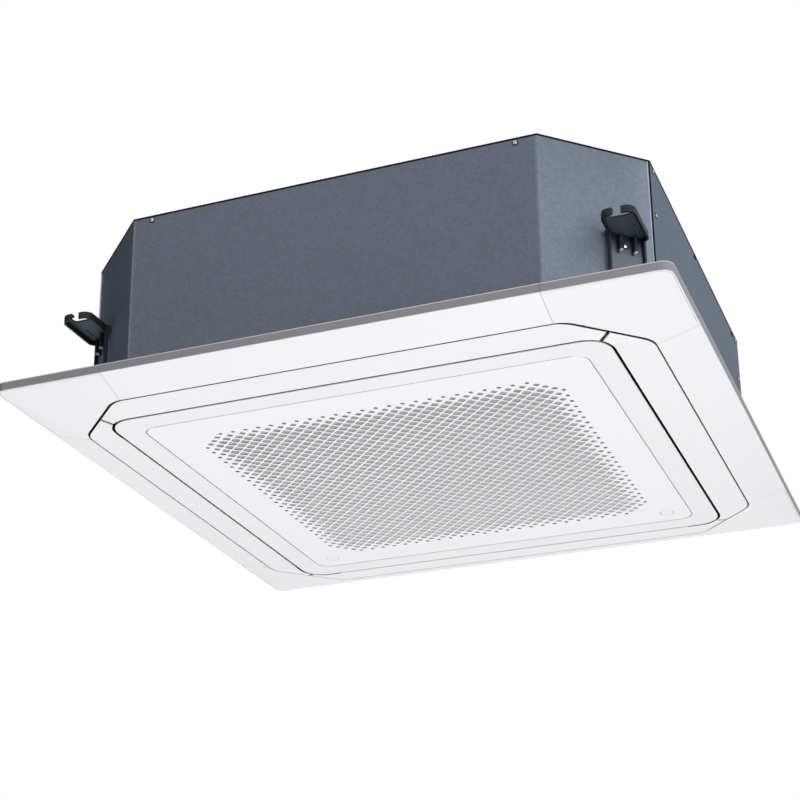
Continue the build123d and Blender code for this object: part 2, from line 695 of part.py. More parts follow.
# Pan-shaped top with stiffening beads pressed upwards over the motor.
lid_gap = 0.2
lid_line = octagon(body_half - sheet - lid_gap, body_reach - (sheet + lid_gap) * ROOT2)
lid_inside = octagon(body_half - 2 * sheet - lid_gap, body_reach - (2 * sheet + lid_gap) * ROOT2)
lid_low = body_top - sheet
bush_spots = [(bush_circle_r * cos(radians(a)), bush_circle_r * sin(radians(a))) for a in (90, 210, 330)]
with BuildPart() as top_plate:
    add(prism(body_line, lid_low, body_top))
    add(tube_wall(lid_line, lid_inside, lid_low - top_flange, lid_low))
    with BuildSketch(Plane.XY.offset(body_top)):
        Circle(bush_circle_r + 54)
        Circle(bush_circle_r + 30, mode=Mode.SUBTRACT)
        with PolarLocations(265, 4, start_angle=45):
            SlotOverall(190, 24)
        with PolarLocations(260, 4):
            SlotOverall(180, 24)
    extrude(amount=bead_height, taper=30)
    with Locations(*[(x, y, lid_low) for x, y in bush_spots]):
        Cylinder(bolt_r + bolt_gap, 10, mode=Mode.SUBTRACT)
    add(screw_holes.part, mode=Mode.SUBTRACT)
keep("top_plate", top_plate)

# Casing screws: heads outside the sheet, shanks through it.
with BuildPart() as casing_screws:
    for x, y, z, out in front_spots:
        with Locations((x, y + out * screw_head / 2, z)):
            Cylinder(screw_head_r, screw_head, rotation=(90, 0, 0))
        with Locations((x, y - out * screw_shank / 2, z)):
            Cylinder(screw_shank_r, screw_shank, rotation=(90, 0, 0))
    for x, y, z, out in side_spots:
        with Locations((x + out * screw_head / 2, y, z)):
            Cylinder(screw_head_r, screw_head, rotation=(0, 90, 0))
        with Locations((x - out * screw_shank / 2, y, z)):
            Cylinder(screw_shank_r, screw_shank, rotation=(0, 90, 0))
keep("casing_screws", casing_screws)

# Foam liner: walls that stand on the drain pan's rim and a slab under the top.
wall_out = sheet + liner_gap
lid_clear = 2 * sheet + 2 * lid_gap + 0.2
liner_outer = octagon(body_half - wall_out, body_reach - wall_out * ROOT2)
liner_inner = octagon(body_half - wall_out - liner_wall, body_reach - (wall_out + liner_wall) * ROOT2)
slab_outer = octagon(body_half - lid_clear, body_reach - lid_clear * ROOT2)
with BuildPart() as insulation_liner:
    add(tube_wall(liner_outer, liner_inner, liner_low + 0.3, lid_low - top_flange - 0.5))
    add(tube_wall(slab_outer, liner_inner, lid_low - top_flange - 0.5, liner_top))
    add(prism(liner_inner, slab_low, liner_top))
    with Locations((0, 0, liner_top)):
        Cylinder(bush_circle_r + 22, 3 * liner_wall, mode=Mode.SUBTRACT)
    with Locations((-gas_x, body_half, gas_z)):
        Cylinder(gas_r + 1, 60, rotation=(90, 0, 0), mode=Mode.SUBTRACT)
    with Locations((-liquid_x, body_half, liquid_z)):
        Cylinder(liquid_r + 1, 60, rotation=(90, 0, 0), mode=Mode.SUBTRACT)
    with Locations((-body_half, pump_x, socket_z)):
        Cylinder(socket_r + 2 * step, 60, rotation=(0, 90, 0), mode=Mode.SUBTRACT)
    with Locations((-body_half, bush_y, bush_z)):
        Cylinder(bush_bore_r + 3.2, 60, rotation=(0, 90, 0), mode=Mode.SUBTRACT)
    add(screw_holes.part, mode=Mode.SUBTRACT)
    add(hanger_holes, mode=Mode.SUBTRACT)
keep("insulation_liner", insulation_liner)

# ================= hangers =================
# One bent plate: base on the chamfer, two side flanges, a foot for the panel screw and a hook plate.
hook_mid_x = chamfer_spot[0] + 9.0
hook_low = hanger_top_z - hanger_plate
hanger_rise = hanger_top_z - hanger_low_z
hanger_mid_z = (hanger_top_z + hanger_low_z) / 2
hook_left_x = hook_mid_x - hook_width / 2
hook_right_x = hook_mid_x + hook_width / 2
# The heel lies straight out from the channel's end, so that the plate's last edge is square to the chamfer.
heel_run = hook_right_x - chamfer_spot[0] - hanger_width / 2 / ROOT2
hook_heel_y = -chamfer_spot[1] - hanger_width / 2 / ROOT2 + heel_run
heel_end = heel_run + 4
hook_face = make_face(Polyline((hook_left_x, -hook_back_y), (hook_left_x, -hook_tip_y),
                               (hook_right_x, -hook_tip_y), (hook_right_x, -hook_heel_y),
                               (hook_right_x - heel_end, -hook_heel_y + heel_end), close=True))
hook_tips = [v for v in hook_face.vertices() if v.Y < -hook_tip_y + 1]
hook_face = fillet(hook_tips, hook_corner_r)
hook_heel = [v for v in hook_face.vertices() if v.X > hook_right_x - 0.1 and v.Y > -hook_heel_y - 0.1]
hook_face = fillet(hook_heel, hook_heel_r)
hook_skirt = hook_face - offset(hook_face, -hanger_plate)
with BuildPart() as hanger_front_right:
    with BuildSketch(hanger_plane):
        with Locations((0, hanger_mid_z)):
            Rectangle(hanger_width, hanger_rise)
    extrude(amount=hanger_plate)
    with BuildSketch(hanger_plane):
        for end in (-1, 1):
            with Locations((end * (hanger_width - hanger_plate) / 2, hanger_mid_z)):
                Rectangle(hanger_plate, hanger_rise)
    extrude(amount=hanger_flange)
    # foot, square to the chamfer
    with BuildSketch(hanger_plane):
        with Locations((0, hanger_low_z + hanger_plate / 2)):
            Rectangle(foot_width, hanger_plate)
    extrude(amount=foot_length)
    # two claws with round ends, bent out below the hook
    with BuildSketch(hanger_plane):
        with Locations((-11, claw_z), (11, claw_z)):
            RectangleRounded(claw_width, claw_height, 0.45 * claw_width)
    extrude(amount=hanger_flange + 3)
    # hook plate with a turned-down skirt round its free edges
    add(prism(hook_face, hook_low, hanger_top_z))
    add(prism(hook_skirt, hook_low - hook_edge, hook_low))
    with BuildSketch(Plane.XY.offset(hook_low)):
        with Locations((hook_right_x - 12, -hook_heel_y - bead_length / 2 - 2)):
            SlotOverall(bead_length, bead_width, rotation=90)
    extrude(amount=-bead_drop)
    # T-slot for the hanging rod and its washer
    with BuildSketch(Plane.XY.offset(hook_low - hook_edge - 1)):
        with Locations((hook_mid_x, -hook_tip_y + horn_depth / 2)):
            Rectangle(slot_mouth, horn_depth + 2)
        with Locations((hook_mid_x, -hook_tip_y + horn_depth + slot_depth / 2)):
            RectangleRounded(slot_width, slot_depth, slot_corner_r)
    extrude(amount=hook_edge + hanger_plate + 2, mode=Mode.SUBTRACT)
    # nothing enters the body; holes for the hanger screws and the panel screw
    add(prism(body_line, 0, 2 * body_top), mode=Mode.SUBTRACT)
    with BuildSketch(hanger_plane):
        with Locations((0, lower_screw_z), (0, claw_z)):
            Circle(screw_shank_r + 0.1)
    extrude(amount=hanger_plate + 1, mode=Mode.SUBTRACT)
    with Locations((screw_spot[0], -screw_spot[1], hanger_low_z)):
        Cylinder(panel_screw_r + 0.1, 20, mode=Mode.SUBTRACT)
keep("hanger_front_right", hanger_front_right)

with BuildPart() as hanger_front_left:
    add(hanger_front_right.part.mirror(Plane.YZ))
keep("hanger_front_left", hanger_front_left)

with BuildPart() as hanger_rear_right:
    add(hanger_front_right.part.mirror(Plane.XZ))
keep("hanger_rear_right", hanger_rear_right)

with BuildPart() as hanger_rear_left:
    add(hanger_rear_right.part.mirror(Plane.YZ))
keep("hanger_rear_left", hanger_rear_left)

with BuildPart() as one_hanger_screws:
    with BuildSketch(hanger_plane.offset(hanger_plate)):
        with Locations((0, lower_screw_z), (0, claw_z)):
            Circle(4)
    extrude(amount=screw_head)
    with BuildSketch(hanger_plane.offset(hanger_plate)):
        with Locations((0, lower_screw_z), (0, claw_z)):
            Circle(screw_shank_r)
    extrude(amount=-hanger_plate - 4)
right_screws = [one_hanger_screws.part, one_hanger_screws.part.mirror(Plane.XZ)]
with BuildPart() as hanger_screws:
    add(right_screws)
    add([screws.mirror(Plane.YZ) for screws in right_screws])
keep("hanger_screws", hanger_screws)

# ================= fan motor =================
motor_top = motor_low_z + motor_height
bush_low = motor_top + 3
lug_r = bush_circle_r + 12
with BuildPart() as fan_motor:
    with BuildSketch(Plane.XZ):
        with BuildLine():
            Polyline((0, motor_low_z), (motor_r - 8, motor_low_z), (motor_r, motor_low_z + 8),
                     (motor_r, motor_top), (lug_r, motor_top), (lug_r, bush_low), (0, bush_low), close=True)
        make_face()
    revolve(axis=Axis.Z)
    with Locations((0, 0, motor_low_z)):
        Cylinder(shaft_r + pin_gap, 2 * 22, mode=Mode.SUBTRACT)
    with Locations(*[(x, y, bush_low) for x, y in bush_spots]):
        Cylinder(bolt_r + bolt_gap, 20, mode=Mode.SUBTRACT)
keep("fan_motor", fan_motor)

with BuildPart() as motor_bushes:
    with Locations(*[(x, y, (bush_low + lid_low) / 2) for x, y in bush_spots]):
        Cylinder(bush_r, lid_low - bush_low)
        Cylinder(bolt_r + bolt_gap, lid_low - bush_low, mode=Mode.SUBTRACT)
keep("motor_bushes", motor_bushes)

with BuildPart() as motor_bolts:
    with Locations(*[(x, y, body_top + 2) for x, y in bush_spots]):
        Cylinder(6, 4)
    with Locations(*[(x, y, (body_top + motor_top - 5) / 2) for x, y in bush_spots]):
        Cylinder(bolt_r, body_top - motor_top + 5)
    with Locations(*[(x, y, motor_top - 2.5) for x, y in bush_spots]):
        Cylinder(5.5, 5)
keep("motor_bolts", motor_bolts)

shaft_low = hub_low_z - 12
with BuildPart() as motor_shaft:
    with Locations((0, 0, shaft_low)):
        Cylinder(shaft_r, motor_low_z + 20 - shaft_low, align=(Align.CENTER, Align.CENTER, Align.MIN))
keep("motor_shaft", motor_shaft)

with BuildPart() as fan_nut:
    with BuildSketch(Plane.XY.offset(hub_low_z)):
        RegularPolygon(10, 6)
        Circle(shaft_r + 0.02, mode=Mode.SUBTRACT)
    extrude(amount=-8)
keep("fan_nut", fan_nut)

# ================= turbo fan =================
# One moulded wheel: a dished back plate, backward-leaning twisted blades and a flared inlet shroud.
disc_low = fan_top_z - fan_wall
shroud_rise = 31.0
shroud_bend = (fan_inlet_r + 12, fan_low_z + 22)
low_lean = 38.0             # degrees from the blade's inner to its outer end, at the shroud
high_lean = 52.0            # the same at the back plate
blade_bow = 14.0
mouth_top = fan_low_z + mouth_overlap


def blade_section(lean):
    """Crescent-shaped section of one blade, from the inner circle to the rim."""
    tip = Vector(fan_r - 1, 0).rotate(Axis.Z, -lean)
    root = Vector(blade_inner_r, 0)
    chord = tip - root
    square = Vector(-chord.Y, chord.X).normalized()
    middle = (root + tip) * 0.5 + square * blade_bow
    with BuildSketch(mode=Mode.PRIVATE) as section:
        with BuildLine():
            ThreePointArc(root, middle, tip)
            ThreePointArc(tip, middle - square * blade_wall, root)
        make_face()
    return section.sketch


with BuildPart() as one_blade:
    with BuildSketch(Plane.XY.offset(fan_low_z)):
        add(blade_section(low_lean))
    with BuildSketch(Plane.XY.offset(disc_low + 1)):
        add(blade_section(high_lean))
    loft()
    # the lower edge follows the shroud and slopes up to the inner circle
    with BuildSketch(Plane.XZ):
        with BuildLine():
            ThreePointArc((fan_inlet_r + 1.2, fan_low_z), (shroud_bend[0] + 1, shroud_bend[1] - 1),
                          (fan_r, fan_low_z + shroud_rise - 1.2))
            Polyline((fan_r, fan_low_z + shroud_rise - 1.2), (fan_r, 0), (blade_inner_r - 20, 0),
                     (blade_inner_r - 20, fan_low_z + 50), (fan_inlet_r - 1, mouth_top + 5),
                     (fan_inlet_r + 1.2, fan_low_z))
        make_face()
    revolve(axis=Axis.Z, mode=Mode.SUBTRACT)

with BuildPart() as turbo_fan:
    with BuildSketch(Plane.XZ):
        with BuildLine():
            Polyline((shaft_r + 0.05, hub_low_z), (hub_r, hub_low_z), (hub_r, hub_low_z + 8),
                     (60, hub_low_z + 12),
                     (98, disc_low), (fan_r, disc_low), (fan_r, fan_top_z), (96, fan_top_z),
                     (57, hub_low_z + 15), (hub_r, hub_low_z + 14), (shaft_r + 0.05, hub_low_z + 14),
                     close=True)
        make_face()
        with BuildLine():
            ThreePointArc((fan_inlet_r, fan_low_z), shroud_bend, (fan_r, fan_low_z + shroud_rise))
            Line((fan_r, fan_low_z + shroud_rise), (fan_r, fan_low_z + shroud_rise - fan_wall))
            ThreePointArc((fan_r, fan_low_z + shroud_rise - fan_wall),
                          (shroud_bend[0] + 2, shroud_bend[1] - 2.2), (fan_inlet_r + fan_wall, fan_low_z))
            Line((fan_inlet_r + fan_wall, fan_low_z), (fan_inlet_r, fan_low_z))
        make_face()
    revolve(axis=Axis.Z)
    with PolarLocations(0, blade_count):
        add(one_blade.part)
keep("turbo_fan", turbo_fan)

# ================= bell mouth =================
flare_r = mouth_r + mouth_flare
mouth_spots = [(285, 285), (-285, 285), (285, -285), (-285, -285), (285, 0), (-285, 0), (0, -285)]
with BuildPart() as bell_mouth:
    with BuildSketch(Plane.XY.offset(mouth_level)):
        RectangleRounded(2 * mouth_plate_half, 2 * mouth_plate_half, 20)
        Circle(flare_r, mode=Mode.SUBTRACT)
        with Locations(*mouth_spots):
            Circle(screw_shank_r + 0.1, mode=Mode.SUBTRACT)
    extrude(amount=mouth_wall)
    with BuildSketch(Plane.XZ):
        with BuildLine():
            ThreePointArc((flare_r, mouth_level), (mouth_r + 10, mouth_level + 10), (mouth_r, mouth_top))
            Line((mouth_r, mouth_top), (mouth_r + mouth_wall, mouth_top))
            ThreePointArc((mouth_r + mouth_wall, mouth_top), (mouth_r + 11, mouth_level + 11.1),
                          (flare_r, mouth_level + mouth_wall))
            Line((flare_r, mouth_level + mouth_wall), (flare_r, mouth_level))
        make_face()
    revolve(axis=Axis.Z)
keep("bell_mouth", bell_mouth)

with BuildPart() as bell_mouth_screws:
    with Locations(*[(x, y, mouth_level - screw_head / 2) for x, y in mouth_spots]):
        Cylinder(4, screw_head)
    with Locations(*[(x, y, (mouth_level + trough_floor_z - 1) / 2) for x, y in mouth_spots]):
        Cylinder(screw_shank_r, trough_floor_z - 1 - mouth_level)
keep("bell_mouth_screws", bell_mouth_screws)

# ================= drain pan =================
# Two foam pieces: the pan with a trough under the coil, and round it a frame that makes the four outlets.
pan_line = octagon(body_half - wall_out - liner_wall - 0.3, body_reach - (wall_out + liner_wall + 0.3) * ROOT2)
outlet_outer = body_half - flange_width
ledge_z = mouth_level + mouth_wall
pan_square = Rectangle(2 * duct_inner, 2 * duct_inner)
with BuildPart() as outlet_frame:
    add(prism(liner_outer, flange_top, liner_low))
    add(prism(pan_line, liner_low, pan_top_z))
    add(prism(pan_square, 0, body_top), mode=Mode.SUBTRACT)
    for angle in (0, 90, 180, 270):
        slot_turn = Location((0, 0, 0), (0, 0, angle))
        with Locations(slot_turn * Location((0, -(duct_inner + outlet_outer) / 2, flange_top))):
            Box(2 * outlet_half_length, outlet_outer - duct_inner, 4 * pan_rim, mode=Mode.SUBTRACT)
        with Locations(slot_turn * Location((0, -(duct_inner + body_half) / 2, liner_low))):
            Box(2 * outlet_half_length, body_half - duct_inner, 200, mode=Mode.SUBTRACT,
                align=(Align.CENTER, Align.CENTER, Align.MIN))
keep("outlet_frame", outlet_frame)

with BuildPart() as drain_pan:
    add(prism(pan_square & pan_line, flange_top, pan_top_z))
    add(prism(rounded_square(mouth_plate_half + 0.5, 20.5), 0, ledge_z), mode=Mode.SUBTRACT)
    with Locations((0, 0, pan_top_z)):
        Cylinder(pan_opening_r, 100, mode=Mode.SUBTRACT)
    add(tube_wall(rounded_square(coil_outer_half + trough_margin, coil_outer_r + trough_margin),
                  rounded_square(coil_inner_half - trough_margin, coil_inner_r - trough_margin),
                  trough_floor_z, pan_top_z + 1), mode=Mode.SUBTRACT)
    with Locations(*[(x, y, ledge_z) for x, y in mouth_spots]):
        Cylinder(screw_shank_r + 0.1, 2 * (trough_floor_z - ledge_z), mode=Mode.SUBTRACT)
keep("drain_pan", drain_pan)

# ================= heat exchanger =================
# Finned block bent round the fan; it stops short of the rear left corner, where its tubes come out.
coil_mid = (coil_inner_half + coil_outer_half) / 2
coil_height = coil_top_z - coil_low_z
coil_mid_z = (coil_top_z + coil_low_z) / 2
with BuildPart() as heat_exchanger:
    add(tube_wall(rounded_square(coil_outer_half, coil_outer_r), rounded_square(coil_inner_half, coil_inner_r),
                  coil_low_z, coil_top_z))
    with Locations((-coil_end, coil_end, coil_mid_z)):
        Box(400, 400, coil_height + 2, align=(Align.MAX, Align.MIN, Align.CENTER), mode=Mode.SUBTRACT)
keep("heat_exchanger", heat_exchanger)

with BuildPart() as exchanger_end_plates:
    with Locations((-coil_mid, coil_end + end_plate / 2, coil_mid_z)):
        Box(coil_thickness + 4, end_plate, coil_height)
    with Locations((-coil_end - end_plate / 2, coil_mid, coil_mid_z)):
        Box(end_plate, coil_thickness + 4, coil_height)
keep("exchanger_end_plates", exchanger_end_plates)

bend_face = coil_end + end_plate
bend_pitch = coil_height / bend_count
with BuildPart() as exchanger_bends:
    for column in (-11, 11):
        for row in range(bend_count):
            bend_z = coil_low_z + (row + 0.5) * bend_pitch
            with Locations((-coil_mid + column, bend_face, bend_z)):
                Torus(bend_r, bend_tube_r, rotation=(0, 90, 0))
            with Locations((-bend_face, coil_mid + column, bend_z)):
                Torus(bend_r, bend_tube_r, rotation=(90, 0, 0))
    with Locations((-coil_mid, bend_face, coil_mid_z)):
        Box(100, 40, coil_height, align=(Align.CENTER, Align.MAX, Align.CENTER), mode=Mode.SUBTRACT)
    with Locations((-bend_face, coil_mid, coil_mid_z)):
        Box(40, 100, coil_height, align=(Align.MIN, Align.CENTER, Align.CENTER), mode=Mode.SUBTRACT)
keep("exchanger_bends", exchanger_bends)

# Gas header beside the rear end of the coil, with three stubs into it.
stub_r = 4.0
with BuildPart() as gas_header:
    with Locations((-gas_x, coil_mid, gas_z + 15)):
        Cylinder(gas_r, 140)
    with Locations(*[(-bend_face, coil_mid, gas_z + 15 + lift) for lift in (-52, 0, 52)]):
        Cylinder(stub_r, gas_x - bend_face, rotation=(0, 90, 0), align=(Align.CENTER, Align.CENTER, Align.MAX))
keep("gas_header", gas_header)

pipe_end_y = body_half + pipe_reach
union_length = 12.0
union_start = body_half + 8
union_end = union_start + union_length
with BuildPart() as gas_pipe:
    with Locations((-gas_x, coil_mid + gas_r + 0.2, gas_z)):
        Cylinder(gas_r + step, union_end - coil_mid - gas_r - 0.2, rotation=(90, 0, 0),
                 align=(Align.CENTER, Align.CENTER, Align.MAX))
    with Locations((-gas_x, union_end, gas_z)):
        Cylinder(gas_r - step, neck, rotation=(90, 0, 0), align=(Align.CENTER, Align.CENTER, Align.MAX))
    with Locations((-gas_x, union_end + neck, gas_z)):
        Cylinder(gas_r, pipe_end_y - union_end - neck, rotation=(90, 0, 0),
                 align=(Align.CENTER, Align.CENTER, Align.MAX))
keep("gas_pipe", gas_pipe)

distributor_r = 8.0
distributor_y = 318.0
with BuildPart() as liquid_distributor:
    with Locations((-liquid_x, distributor_y, liquid_z)):
        Cylinder(distributor_r, 36)
    for lift in (-12, 0, 12):
        run = Line((-liquid_x + 6, distributor_y, liquid_z + lift), (-bend_face - 0.8, 302, liquid_z + lift))
        with BuildSketch(Plane(origin=run @ 0, z_dir=run % 0)):
            Circle(1.6)
        sweep(path=run)
keep("liquid_distributor", liquid_distributor)

with BuildPart() as liquid_pipe:
    with Locations((-liquid_x, distributor_y + distributor_r + 0.2, liquid_z)):
        Cylinder(liquid_r + step, union_end - distributor_y - distributor_r - 0.2, rotation=(90, 0, 0),
                 align=(Align.CENTER, Align.CENTER, Align.MAX))
    with Locations((-liquid_x, union_end, liquid_z)):
        Cylinder(liquid_r - step, neck, rotation=(90, 0, 0), align=(Align.CENTER, Align.CENTER, Align.MAX))
    with Locations((-liquid_x, union_end + neck, liquid_z)):
        Cylinder(liquid_r, pipe_end_y - union_end - neck, rotation=(90, 0, 0),
                 align=(Align.CENTER, Align.CENTER, Align.MAX))
keep("liquid_pipe", liquid_pipe)

# Brass hexagon unions on the pipes, outside the casing.
with BuildPart() as gas_union:
    with BuildSketch(Plane.XZ.offset(-union_start)):
        with Locations((-gas_x, gas_z)):
            RegularPolygon(15, 6)
            Circle(gas_r + step + 0.02, mode=Mode.SUBTRACT)
    extrude(amount=-union_length)
keep("gas_union", gas_union)

with BuildPart() as liquid_union:
    with BuildSketch(Plane.XZ.offset(-union_start)):
        with Locations((-liquid_x, liquid_z)):
            RegularPolygon(10, 6)
            Circle(liquid_r + step + 0.02, mode=Mode.SUBTRACT)
    extrude(amount=-union_length)
keep("liquid_union", liquid_union)

with BuildPart() as pipe_cover_plate:
    with BuildSketch(Plane.XZ.offset(-body_half)):
        with Locations((-(gas_x + liquid_x) / 2, (gas_z + liquid_z) / 2)):
            RectangleRounded(90, 84, 6)
        with Locations((-gas_x, gas_z)):
            Circle(gas_r + 2 * step, mode=Mode.SUBTRACT)
        with Locations((-liquid_x, liquid_z)):
            Circle(liquid_r + 2 * step, mode=Mode.SUBTRACT)
    extrude(amount=-sheet)
keep("pipe_cover_plate", pipe_cover_plate)

# ================= drain pump and float =================
stub_z = pump_top_z - 20
with BuildPart() as drain_pump:
    with Locations((-pump_x, pump_x, pump_low_z)):
        Cylinder(pump_suction_r, pump_body_z - pump_low_z, align=(Align.CENTER, Align.CENTER, Align.MIN))
    with Locations((-pump_x, pump_x, pump_body_z)):
        Cylinder(pump_r, pump_top_z - pump_body_z, align=(Align.CENTER, Align.CENTER, Align.MIN))
    with Locations((-pump_x - pump_r - 8, pump_x, stub_z)):
        Cylinder(hose_r, 20, rotation=(0, 90, 0), align=(Align.CENTER, Align.CENTER, Align.MIN))
keep("drain_pump", drain_pump)

with BuildPart() as pump_bracket:
    with BuildSketch(Plane.XY.offset(pump_top_z)):
        with Locations((-pump_x, pump_x)):
            Circle(pump_r + 2)
        with Locations((-float_x, float_y)):
            Circle(9)
        with Locations((-(pump_x + float_x) / 2, (pump_x + float_y) / 2)):
            Rectangle(20, 40)
    extrude(amount=2)
    with Locations((-pump_x - 16, pump_x, pump_top_z + 1), (-pump_x + 16, pump_x, pump_top_z + 1)):
        Box(2, 30, slab_low - pump_top_z - 1, align=(Align.CENTER, Align.CENTER, Align.MIN))
    with Locations((-pump_x, pump_x, slab_low - 1)):
        Box(56, 30, 2)
keep("pump_bracket", pump_bracket)

float_low = pump_low_z + 3
stem_low = float_low - 2
head_low = float_low + float_height + float_travel + 3
with BuildPart() as float_switch:
    with Locations((-float_x, float_y, stem_low)):
        Cylinder(float_stem_r + 1.6, 2, align=(Align.CENTER, Align.CENTER, Align.MIN))
        Cylinder(float_stem_r, head_low - stem_low + 2, align=(Align.CENTER, Align.CENTER, Align.MIN))
    with Locations((-float_x, float_y, head_low)):
        Cylinder(8, 14, align=(Align.CENTER, Align.CENTER, Align.MIN))
        Cylinder(4, pump_top_z - head_low, align=(Align.CENTER, Align.CENTER, Align.MIN))
keep("float_switch", float_switch)

float_seat = 0.2
with BuildPart() as float_ring:
    with Locations((-float_x, float_y, float_low + float_seat)):
        Cylinder(float_r, float_height, align=(Align.CENTER, Align.CENTER, Align.MIN))
        Cylinder(float_stem_r + 0.15, 2 * float_height, mode=Mode.SUBTRACT)
keep("float", float_ring)

hose_end = liner_gap + liner_wall + sheet + 3
cuff_r = 12.8
with BuildPart() as drain_hose:
    hose_start = -pump_x - pump_r - 8
    hose_turn = hose_start - 34
    with BuildLine() as hose_path:
        FilletPolyline((hose_start, pump_x, stub_z), (hose_turn, pump_x, stub_z),
                       (hose_turn, pump_x, socket_z), (-body_half + hose_end, pump_x, socket_z), radius=24)
    with BuildSketch(Plane(origin=hose_path.line @ 0, z_dir=hose_path.line % 0)):
        Circle(hose_r)
    sweep()
    with Locations((-body_half + hose_end - 8, pump_x, socket_z)):
        Cylinder(cuff_r, 20, rotation=(0, 90, 0), align=(Align.CENTER, Align.CENTER, Align.MIN))
keep("drain_hose", drain_hose)

socket_inner = -body_half + sheet + liner_gap + liner_wall + 0.2
with BuildPart() as drain_socket:
    with Locations((-body_half - socket_reach, pump_x, socket_z)):
        Cylinder(socket_r, socket_reach - 2 * neck, rotation=(0, 90, 0),
                 align=(Align.CENTER, Align.CENTER, Align.MIN))
    with Locations((-body_half - 2 * neck, pump_x, socket_z)):
        Cylinder(socket_r - step, neck, rotation=(0, 90, 0), align=(Align.CENTER, Align.CENTER, Align.MIN))
    with Locations((-body_half - neck, pump_x, socket_z)):
        Cylinder(socket_r + step, socket_inner + body_half + neck, rotation=(0, 90, 0),
                 align=(Align.CENTER, Align.CENTER, Align.MIN))
    with Locations((socket_inner, pump_x, socket_z)):
        Cylinder(socket_r + 4, 3, rotation=(0, 90, 0), align=(Align.CENTER, Align.CENTER, Align.MIN))
    with Locations((-body_half, pump_x, socket_z)):
        Cylinder(cuff_r + 0.2, 200, rotation=(0, 90, 0), mode=Mode.SUBTRACT)
keep("drain_socket", drain_socket)

# ================= electrical box =================
box_low = mouth_level - box_height
box_mid_y = box_y + box_depth / 2
board_z = mouth_level - 10
board_wall = 1.6
with BuildPart() as electrical_box:
    with Locations((0, box_mid_y, (box_low + mouth_level) / 2)):
        Box(box_width, box_depth, box_height)
    with Locations((0, box_mid_y, (box_low + mouth_level) / 2 - sheet)):
        Box(box_width - 2 * sheet, box_depth - 2 * sheet, box_height, mode=Mode.SUBTRACT)
    with Locations((-38, box_mid_y, (board_z + board_wall + mouth_level) / 2)):
        with GridLocations(186, 40, 2, 2):
            Cylinder(3, mouth_level - board_z - board_wall)
keep("electrical_box", electrical_box)

with BuildPart() as electrical_cover:
    with Locations((0, box_mid_y, box_low - sheet / 2)):
        Box(box_width + 2, box_depth + 2, sheet)
    with Locations((0, box_mid_y, box_low - sheet)):
        with GridLocations(60, 1, 4, 1):
            Box(30, 30, 1, align=(Align.CENTER, Align.CENTER, Align.MAX))
keep("electrical_cover", electrical_cover)

with BuildPart() as control_board:
    with Locations((-38, box_mid_y, board_z + board_wall / 2)):
        Box(200, 50, board_wall)
    with Locations((-110, box_mid_y, board_z), (-80, box_mid_y, board_z)):
        Cylinder(9, 15, align=(Align.CENTER, Align.CENTER, Align.MAX))
    with Locations((-30, box_mid_y + 8, board_z), (0, box_mid_y + 8, board_z)):
        Box(20, 16, 12, align=(Align.CENTER, Align.CENTER, Align.MAX))
    with Locations((35, box_mid_y, board_z)):
        Box(24, 34, 10, align=(Align.CENTER, Align.CENTER, Align.MAX))
keep("control_board", control_board)

with BuildPart() as terminal_block:
    with Locations((108, box_mid_y, mouth_level - sheet)):
        Box(66, 24, 14, align=(Align.CENTER, Align.CENTER, Align.MAX))
    with Locations((108, box_mid_y, mouth_level - sheet - 14)):
        with GridLocations(11, 1, 6, 1):
            Box(8, 26, 9, align=(Align.CENTER, Align.CENTER, Align.MIN), mode=Mode.SUBTRACT)
keep("terminal_block", terminal_block)

with BuildPart() as wiring_bush:
    with Locations((-body_half, bush_y, bush_z)):
        Cylinder(bush_bore_r + 6, 3, rotation=(0, 90, 0), align=(Align.CENTER, Align.CENTER, Align.MAX))
        Cylinder(bush_bore_r + 2.9, 6, rotation=(0, 90, 0), align=(Align.CENTER, Align.CENTER, Align.MIN))
        Cylinder(bush_bore_r, 40, rotation=(0, 90, 0), mode=Mode.SUBTRACT)
keep("wiring_bush", wiring_bush)

os.makedirs("parts", exist_ok=True)
for piece in pieces:
    export_step(piece, f"parts/{piece.label}.step")
print(len(pieces), "pieces written")
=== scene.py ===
import math

import bmesh
import bpy
import numpy as np
from mathutils import Matrix, Vector


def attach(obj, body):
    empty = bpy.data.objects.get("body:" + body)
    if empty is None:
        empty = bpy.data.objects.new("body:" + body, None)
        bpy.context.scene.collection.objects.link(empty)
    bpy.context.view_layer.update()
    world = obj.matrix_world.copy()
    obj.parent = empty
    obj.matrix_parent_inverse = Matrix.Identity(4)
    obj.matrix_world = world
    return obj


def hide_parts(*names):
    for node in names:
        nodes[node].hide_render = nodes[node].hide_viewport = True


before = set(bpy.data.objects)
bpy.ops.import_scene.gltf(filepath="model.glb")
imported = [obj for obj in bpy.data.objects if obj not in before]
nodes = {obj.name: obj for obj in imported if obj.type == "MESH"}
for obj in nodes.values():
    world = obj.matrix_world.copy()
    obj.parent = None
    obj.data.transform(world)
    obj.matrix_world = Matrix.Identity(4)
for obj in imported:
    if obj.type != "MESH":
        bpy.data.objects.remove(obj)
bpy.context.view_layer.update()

# ---- Studio ----
# A white room seen from below, as one looks up at a ceiling unit: a broad soft box under the unit, weaker ones
# beside and above it, and a pale floor far below that takes the shadow. The camera is set so that the edges of
# the panel and the casing lie where the photograph has them.
frame_pixels, focal_pixels = 800, 1828.8
centre_pixel_x, centre_pixel_y = 372, 500
sensor_width = 36.0
camera_place = (0.8573, -2.4202, -1.0288)
azimuth, tilt, roll = math.radians(21.63), math.radians(21.11), math.radians(-0.254)


def in_scene(name, data):
    """New object at the origin, linked to the scene; its data takes its name."""
    data.name = name
    made = bpy.data.objects.new(name, data)
    bpy.context.scene.collection.objects.link(made)
    return made


